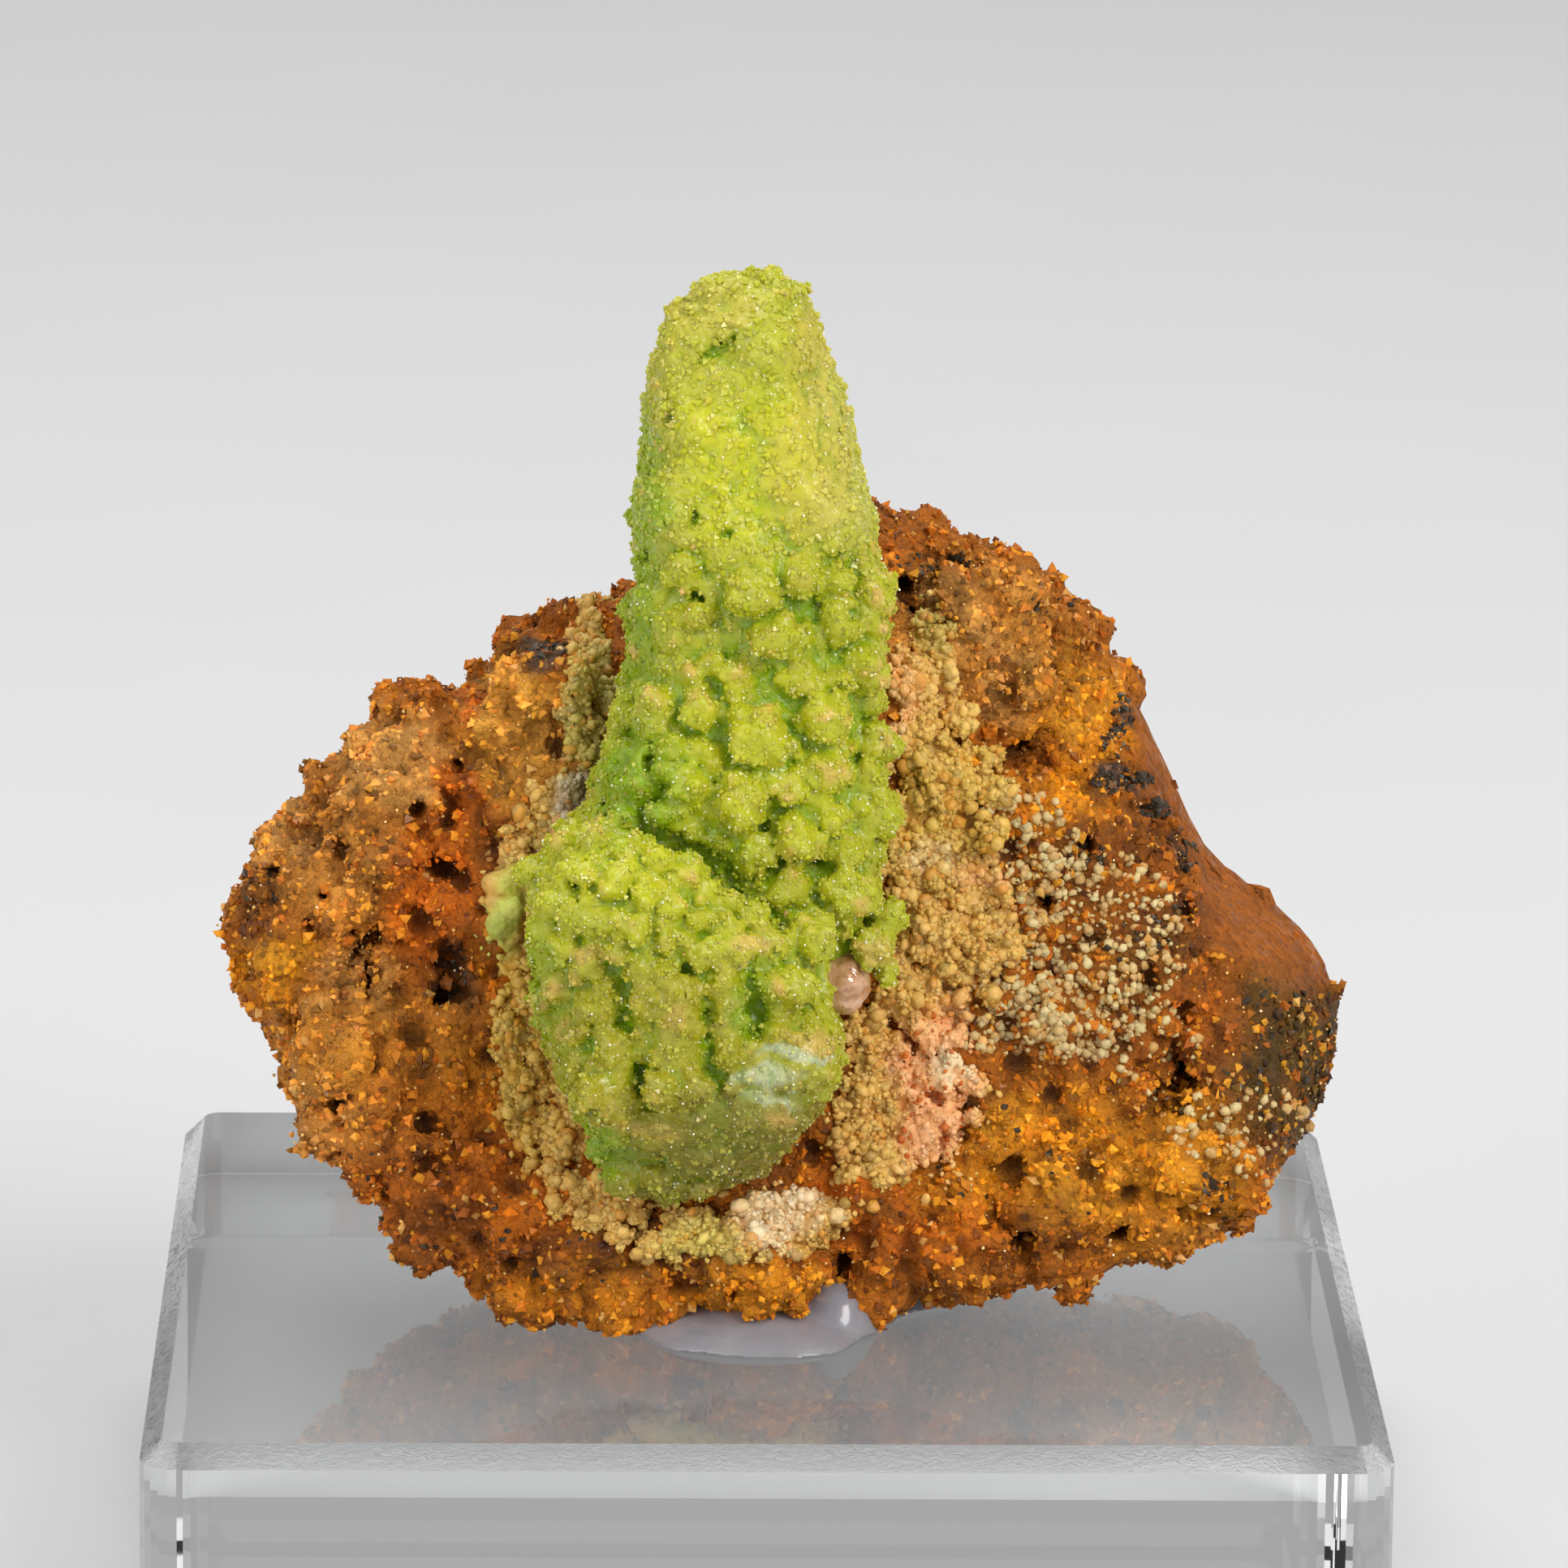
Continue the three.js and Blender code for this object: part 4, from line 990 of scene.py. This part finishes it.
def crystal_tones(field, points):
    """Tone and dust of the druse: darker and greener in its hollows as painted shade, paler and dusty on its
    crests.
    """
    deep, bend = hollows(field, points, 0.45, 0.02, -0.16)
    broad, _ = hollows(field, points, 1.1, 0.0, -0.5)
    tone = tones_at(points, LIME, CRYSTAL_TONES, 41, 14.0, limit_y=-1.0)
    # Painted shade: the tone turns deep green where the skin lies in narrow and broad hollows.
    tone = toward(tone, LEAF_GREEN_AND_SHADE, np.clip(0.85 * deep + 0.4 * broad, 0, 0.95))
    crest = np.clip((bend - 0.02) / 0.2, 0, 1)
    speckle = np.clip(layered_noise(points, 0.8, 44, 3, 0.7) - 0.15, 0, 1)
    patchy = np.clip(1.5 * noise(points, 3.0, 45) + 0.35, 0, 1)
    return tone, np.clip(1.3 * crest * speckle * patchy, 0, 0.7)


def make_crystal(rng):
    field = crystal_field(rng)
    points, faces = field.mesh(CRYSTAL_MERGE)
    tone, dust = crystal_tones(field, points)
    add_piece(
        "lime_druse", points, faces, crystal_material("lime_druse", True),
        "phosphohedyphane", "phosphohedyphane_crystal", tone=tone, dust=dust,
    )
    return field


def make_druse_points(field, rng):
    """Tiny blocky crystals set nearly flush in the druse."""
    centres = rng.permutation(field.scatter(0.26, rng, 1.0, lambda points: points[:, 1] < 0))[:DRUSE_POINTS]
    away = field.normals(centres, 0.3)
    size = 0.08 + 0.10 * rng.random(len(centres)) ** 1.5
    size *= 1 + 0.3 * np.clip((centres[:, 2] - 43) / 4, 0, 1)
    turns = along(away, rng)
    sizes = varied(size, rng, 0.75, 0.5)
    points, faces, owner = joined_copies(OCTAHEDRON, centres - 0.2 * size[:, None] * away, sizes, turns)
    # The points take the druse's tones, with its painted shade and painted light among them.
    tone, dust = crystal_tones(field, centres)
    pick = rng.random(len(centres))
    tone = toward(tone, FROST_AND_RIM_LIGHT, 0.75 * pick ** 3)
    tone[pick < 0.006] = DUST
    add_piece(
        "druse_points", points, faces, crystal_material("druse_points", False),
        "phosphohedyphane", smooth=False, tone=np.clip(tone, 0, 1)[owner], dust=dust[owner],
    )


def make_glints(name, field, rng, spacing, most, smallest, largest, material, slot, keep):
    """Glossy specks that catch the light, standing just clear of a skin; their pale tones are painted
    highlights.
    """
    centres = rng.permutation(field.scatter(spacing, rng, 1.0, keep))[:most]
    away = field.normals(centres, 0.3)
    size = (smallest + (largest - smallest) * rng.random(len(centres)) ** 2)[:, None]
    points, faces, _ = joined_copies(OCTAHEDRON, centres + 0.6 * size * away, size, along(away, rng))
    add_piece(name, points, faces, material, slot, smooth=False)


# Matrix

def rock_zones(points):
    """Where the matrix is smooth: its right side face and the far facet."""
    return inside_patches(points, SIDE_PATCHES), inside_patches(points, FACET_PATCHES)


def rock_field(rng):
    """The matrix with knobs, grains, pits and cracks."""
    field = node_field("limonite_matrix", ROCK_VOXEL, 1.2, 1.2)
    field.fill_from("limonite_matrix")
    field.value = blurred(field.value, 0.7 / ROCK_VOXEL)
    field.value += 0.30

    def swell(points):
        calm = np.clip(1 - 2.5 * np.maximum(*rock_zones(points)), 0.2, 1)
        fine = 0.05 * layered_noise(points, 0.7, 64, 2, 0.7)
        return calm * (0.5 * noise(points, 2.6, 61) + 0.4 * noise(points, 1.2, 62)) + fine

    def rough(points):
        return np.maximum(*rock_zones(points)) < 0.1

    def hollowed(points):
        return rough(points) & (noise(points, 4.0, 63) > -0.15)

    field.push(1.6, swell)
    add_lumps(field, [(x, y, radius, radius) for x, y, radius in ROCK_KNOBS], 0.3, 0.15)
    for x, y, wide, tall, thick, turn in ROCK_PLATES:
        press(field, x, y, wide, tall, thick, turn, 0.15, carve=False)
    scatter_balls(field, rng, 1.7, 0.6, 1.1, 0.40, 0.15, 0.75, rough)
    scatter_balls(field, rng, 1.0, 0.35, 0.65, 0.30, 0.08, 0.85, rough)
    for x, y, wide, tall, depth, turn in ROCK_PITS:
        press(field, x, y, wide, tall, depth, turn, 0.15)
    scatter_pits(field, rng, 1.35, 0.3, 0.75, 0.6, hollowed)
    return field


def rock_tones(field, points):
    """Tone of the matrix, how deep in the pits and dips each point lies, which sets the painted shade there,
    and how smooth the rock is there.
    """
    deep, _ = hollows(field, points, 0.6, -0.02, -0.35)
    tone = tones_at(points, RUST, ROCK_TONES, 71, 22.0)
    side, _ = rock_zones(points)
    smooth = np.clip(4 * side, 0, 1) * np.clip((8 - points[:, 1]) / 3, 0, 1)
    tone = toward(tone, OCHRE, 0.85 * smooth)
    golden = np.clip(0.5 + layered_noise(points, 5.0, 75), 0, 1)
    back_tone = toward(np.array(RUST), GOLD, 0.6 * golden)
    tone = toward(tone, back_tone, np.clip((points[:, 1] - 3) / 3, 0, 1))
    tone *= (1 + 0.35 * layered_noise(points, 1.8, 76, 3, 0.6))[:, None]
    return np.clip(tone, 0.004, 1), 0.9 * deep, smooth


def make_rock(rng):
    field = rock_field(rng)
    points, faces = field.mesh(ROCK_MERGE)
    tone, deep, _ = rock_tones(field, points)
    # The depth in the pits and dips is stored to darken the rock there as painted shade.
    add_piece(
        "gossan_matrix", points, faces, rock_material("gossan", True), "limonite", "limonite_matrix",
        tone=tone, hollow=deep,
    )
    return field


def make_rock_grains(rock, rng):
    """Angular grains that cover the matrix, each of its own shade."""
    front = rock.scatter(0.27, rng, 1.0, lambda points: points[:, 1] < 5)[:FRONT_GRAINS]
    rear = rock.scatter(0.7, rng, 1.0, lambda points: points[:, 1] >= 5)[:REAR_GRAINS]
    centres = np.concatenate([front, rear])
    tone, deep, smooth = rock_tones(rock, centres)
    kept = rng.random(len(centres)) > np.clip(2.5 * smooth, 0, 0.98)
    centres, tone, deep = centres[kept], tone[kept], deep[kept]
    size = 0.11 + 0.19 * rng.random(len(centres)) ** 1.6
    size[centres[:, 1] >= 5] *= 1.5
    sizes = varied(size, rng, 0.7, 0.6)
    sunk = centres - 0.3 * size[:, None] * rock.normals(centres, 0.3)
    points, faces, owner = joined_copies(OCTAHEDRON, sunk, sizes, any_way(len(centres), rng))
    points += 0.03 * rng.normal(size=points.shape)
    pick = rng.random((len(centres), 1))
    # Each grain takes a random tone: darker, paler, ember or sand, and about a fifth bright gold, partly the
    # grains' own colour and partly painted highlights.
    shade = np.where(pick < 0.22, tone * 0.38, np.where(pick > 0.62, tone * 1.45, tone))
    shade = np.where((pick > 0.80), shade * 0.4 + 0.6 * np.array(BRIGHT_GOLD), shade)
    shade = np.where((pick > 0.97), np.array(SAND), shade)
    shade = np.where((pick > 0.40) & (pick < 0.52), 0.5 * shade + 0.5 * np.array(EMBER), shade)
    # Grains in the pits and dips carry the same painted shade.
    add_piece(
        "gossan_grains", points, faces, rock_material("gossan_grains", False), "limonite",
        smooth=False, tone=np.clip(shade, 0.004, 1)[owner], hollow=(0.8 * deep)[owner],
    )


def points_in_patches(field, patches, rng):
    """Skin points that fall in some patches of the picture: x, y, half width, half height, how many."""
    found = []
    for x, y, wide, tall, count in patches:
        for _ in range(count):
            angle = 2 * math.pi * rng.random()
            reach = math.sqrt(rng.random())
            skin = field.hit(x + wide * reach * math.cos(angle), y + tall * reach * math.sin(angle))
            if skin is not None:
                found.append(skin)
    return np.array(found)


def make_glance(rock, rng):
    """Black glancing crystals in streaks down the right of the matrix."""
    centres = points_in_patches(rock, GLANCE_PATCHES, rng)
    away = rock.normals(centres)
    size = 0.09 + 0.18 * rng.random(len(centres)) ** 2
    sizes = varied(size, rng, 0.7, 0.6) * (1.0, 1.0, 0.6)
    lifted = centres + 0.15 * size[:, None] * away
    points, faces, _ = joined_copies(OCTAHEDRON, lifted, sizes, along(away, rng, 0.8))
    add_piece("black_glance", points, faces, metal_material(), "limonite", smooth=False)


# Crust

def crust_field(rock, rng):
    """A thin lacy skin on the matrix round the crystal's foot, beaded with botryoids."""
    field = node_field("pale_crust", CRUST_VOXEL, np.array((4, 1, 2)), np.array((5, 3, 4)))
    places = np.stack(np.meshgrid(*field.axes, indexing="ij"), -1).reshape(-1, 3)
    skin = rock.sample(places)
    ragged = 0.30 * layered_noise(places, 1.1, 81, 3, 0.8)
    inside = inside_patches(places, CRUST_PATCHES) + ragged
    shell = np.maximum(skin - 0.12, -(skin + 0.6))
    shell = np.maximum(shell, (0.14 - inside) * 1.5)
    shell = np.maximum(shell, places[:, 1] - 3)
    field.value = np.clip(shell, -BAND, BAND).reshape(field.value.shape).astype(np.float32)

    def outer(points):
        return rock.sample(points) > 0.04

    def lacy(points):
        return outer(points) & (noise(points, 1.3, 83) > -0.25)

    scatter_balls(field, rng, 0.80, 0.25, 0.46, 0.15, 0.05, 0.8, lacy)
    scatter_balls(field, rng, 0.42, 0.15, 0.24, 0.05, 0.04, 0.7, outer)
    add_lumps(field, CRUST_LUMPS, 0.2, 0.08)
    return field


def add_crust_piece(name, points, faces, tone, hollow, *nodes):
    add_piece(name, points, faces, crust_material(name), "pale_crust", *nodes, tone=tone, hollow=hollow)


def make_crust(rock, rng):
    field = crust_field(rock, rng)
    points, faces = field.mesh(CRUST_MERGE, 60)
    # The depth of the gaps between the crust's beads, stored to darken them as painted shade with an orange
    # tint.
    deep, _ = hollows(field, points, 0.3, 0.0, -0.16)
    tone = tones_at(points, CREAM, CRUST_TONES, 85)
    tone *= (1 + 0.25 * layered_noise(points, 1.2, 86, 2))[:, None]
    add_crust_piece("cream_crust", points, faces, np.clip(tone, 0.01, 1), 0.85 * deep, "pale_crust")
    return field


def make_beads(rock, crust, rng):
    """Cream beads that crowd the crust and thin out beyond it."""
    reach = 0.7
    spots = crust.scatter(0.25, rng, 1.0, lambda points: rock.sample(points) > 0.04)
    spots = spots[inside_patches(spots, [PLATE_PATCH]) < 0]
    strays = rock.scatter(0.34, rng, 1.0, lambda points: points[:, 1] < 2)
    near = inside_patches(strays, CRUST_PATCHES)
    strays = strays[(near > -reach) & (rng.random(len(strays)) < 0.75 * np.clip(1 + near / reach, 0, 1) ** 2)]
    centres = np.concatenate([rng.permutation(spots)[:BEADS], strays[:STRAY_BEADS]])
    size = 0.10 + 0.18 * rng.random(len(centres)) ** 2
    sizes = varied(size, rng, 0.65, 0.7)
    fine = inside_patches(centres, [PINK_PATCH]) > 0
    sizes[fine] *= 0.65
    turns = any_way(len(centres), rng)
    places = centres - 0.2 * size[:, None] * crust.normals(centres, 0.3)
    round_ones = rng.random(len(centres)) < ROUND_BEADS
    round_part, blocky_part = [
        joined_copies(shape, places[which], sizes[which] * grown, turns[which]) + (np.flatnonzero(which),)
        for shape, which, grown in ((BALL, round_ones, 1.35), (OCTAHEDRON, ~round_ones, 1.0))
    ]
    points = np.concatenate([round_part[0], blocky_part[0]])
    faces = np.concatenate([round_part[1], blocky_part[1] + len(round_part[0])])
    owner = np.concatenate([part[3][part[2]] for part in (round_part, blocky_part)])
    tone = tones_at(centres, CREAM, CRUST_TONES, 85)
    pick = rng.random((len(centres), 1))
    tone = np.where(pick < 0.10, 0.65 * tone, np.where(pick > 0.65, tone * (1.15, 1.2, 1.35), tone))
    tone = np.where((pick > 0.10) & (pick < 0.26), 0.5 * tone + 0.5 * np.array(GOLD), tone)
    tone = np.where(fine[:, None] & (pick < 0.16), np.array(EMBER), tone)
    add_crust_piece("crust_beads", points, faces, np.clip(tone, 0.01, 1)[owner], np.zeros(len(points)))


def make_grains(rock, rng):
    """Loose cream grains sprinkled over the right of the face."""
    centres = points_in_patches(rock, GRAIN_FIELDS, rng)
    size = 0.11 + 0.17 * rng.random(len(centres)) ** 1.5
    sizes = varied(size, rng, 0.75, 0.5)
    lifted = centres + 0.15 * size[:, None] * rock.normals(centres)
    points, faces, owner = joined_copies(BALL, lifted, sizes, any_way(len(centres), rng))
    points += 0.025 * rng.normal(size=points.shape)
    tone = toward(np.array(GRAIN_TONES[0]), GRAIN_TONES[1], rng.random(len(centres)))
    add_crust_piece("cream_grains", points, faces, tone[owner], np.zeros(len(points)))


# Knob, putty and block

def make_cerussite(crystal):
    x, y, wide, tall = CERUSSITE
    field = node_field("cerussite_knob", CERUSSITE_VOXEL, 1.5, 1.5)
    centre = crystal.hit(x, y) + CERUSSITE_SHIFT
    radii = np.array([wide, wide, tall]) / PX_PER_MM
    field.add_ball(centre, radii, 0.1)
    field.add_ball(centre + (0.45, 0.1, -0.35), radii * 0.55, 0.12)
    field.add_ball(centre + (-0.35, 0.0, 0.5), radii * 0.5, 0.12)
    field.push(1.0, lambda points: 0.14 * noise(points, 0.7, 91) + 0.06 * noise(points, 0.3, 92))
    add_piece("cerussite", *field.mesh(), cerussite_material(), "cerussite", "cerussite_knob")


def make_putty():
    """A flattened lens with a wedge to its right and a dome pressed against the rock."""
    field = node_field("mounting_putty", PUTTY_VOXEL, np.array((1.5, 2.5, 3.0)), np.array((1.5, 1.5, 2.5)))
    for x, y, z, wide, deep, tall in PUTTY_LUMPS:
        field.add_ball(np.array((x, y, z)), (wide, deep, tall), 0.5)
    field.push(1.2, lambda points: 0.12 * noise(points, 2.5, 95))
    block_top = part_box("acrylic_block")[1][2] / MM + 0.01
    field.value = np.maximum(field.value, (block_top - field.axes[2])[None, None, :].astype(np.float32))
    add_piece("clear_putty", *field.mesh(), putty_material(), "putty", "mounting_putty")


def dress_block():
    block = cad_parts["acrylic_block"]
    block.data.materials.clear()
    block.data.materials.append(acrylic_material())


# Stage

def make_floor():
    half = 2.5
    mesh = bpy.data.meshes.new("floor")
    mesh.from_pydata(
        [(-half, -half, 0), (half, -half, 0), (half, half, 0), (-half, half, 0)], [], [(0, 1, 2, 3)],
    )
    floor = add_object("floor", mesh)
    floor.location.z = -FLOOR_GAP
    mesh.materials.append(floor_material())


def make_lights():
    """Soft square lights aimed at the crystal, and a dim white room."""
    for name, at, size, power, colour in LIGHTS:
        data = bpy.data.lights.new(name, "AREA")
        data.shape = "SQUARE"
        data.size = size
        data.energy = power
        data.color = colour
        facing = LIT_POINT - Vector(at)
        add_object(name, data).matrix_world = (
            Matrix.Translation(at) @ facing.to_track_quat("-Z", "Y").to_matrix().to_4x4()
        )
    world = bpy.data.worlds.new("soft_room")
    world.use_nodes = True
    background = world.node_tree.nodes["Background"].inputs
    background[0].default_value = WORLD_COLOUR
    background[1].default_value = WORLD_STRENGTH
    bpy.context.scene.world = world
    bpy.context.scene.view_settings.view_transform = "Standard"


def build():
    make_camera()
    crystal = make_crystal(np.random.default_rng(1))
    rock = make_rock(np.random.default_rng(2))
    crust = make_crust(rock, np.random.default_rng(3))
    make_beads(rock, crust, np.random.default_rng(10))
    make_grains(rock, np.random.default_rng(4))
    make_cerussite(crystal)
    make_putty()
    dress_block()
    make_druse_points(crystal, np.random.default_rng(5))
    make_rock_grains(rock, np.random.default_rng(6))
    make_glance(rock, np.random.default_rng(7))
    # Pale specks on the druse and golden ones on the matrix: their tones are painted highlights.
    make_glints(
        "druse_glints", crystal, np.random.default_rng(8), 0.4, DRUSE_GLINTS, 0.03, 0.07,
        painted_glint_material("druse_glint", (0.84, 0.84, 0.58)), "phosphohedyphane",
        lambda points: points[:, 1] < 0,
    )
    make_glints(
        "gossan_glints", rock, np.random.default_rng(9), 0.5, GOSSAN_GLINTS, 0.04, 0.10,
        painted_glint_material("gossan_glint", (0.74, 0.42, 0.09)), "limonite",
        lambda points: (points[:, 1] < 9) & (rock_zones(points)[0] < 0),
    )
    make_floor()
    make_lights()


build()
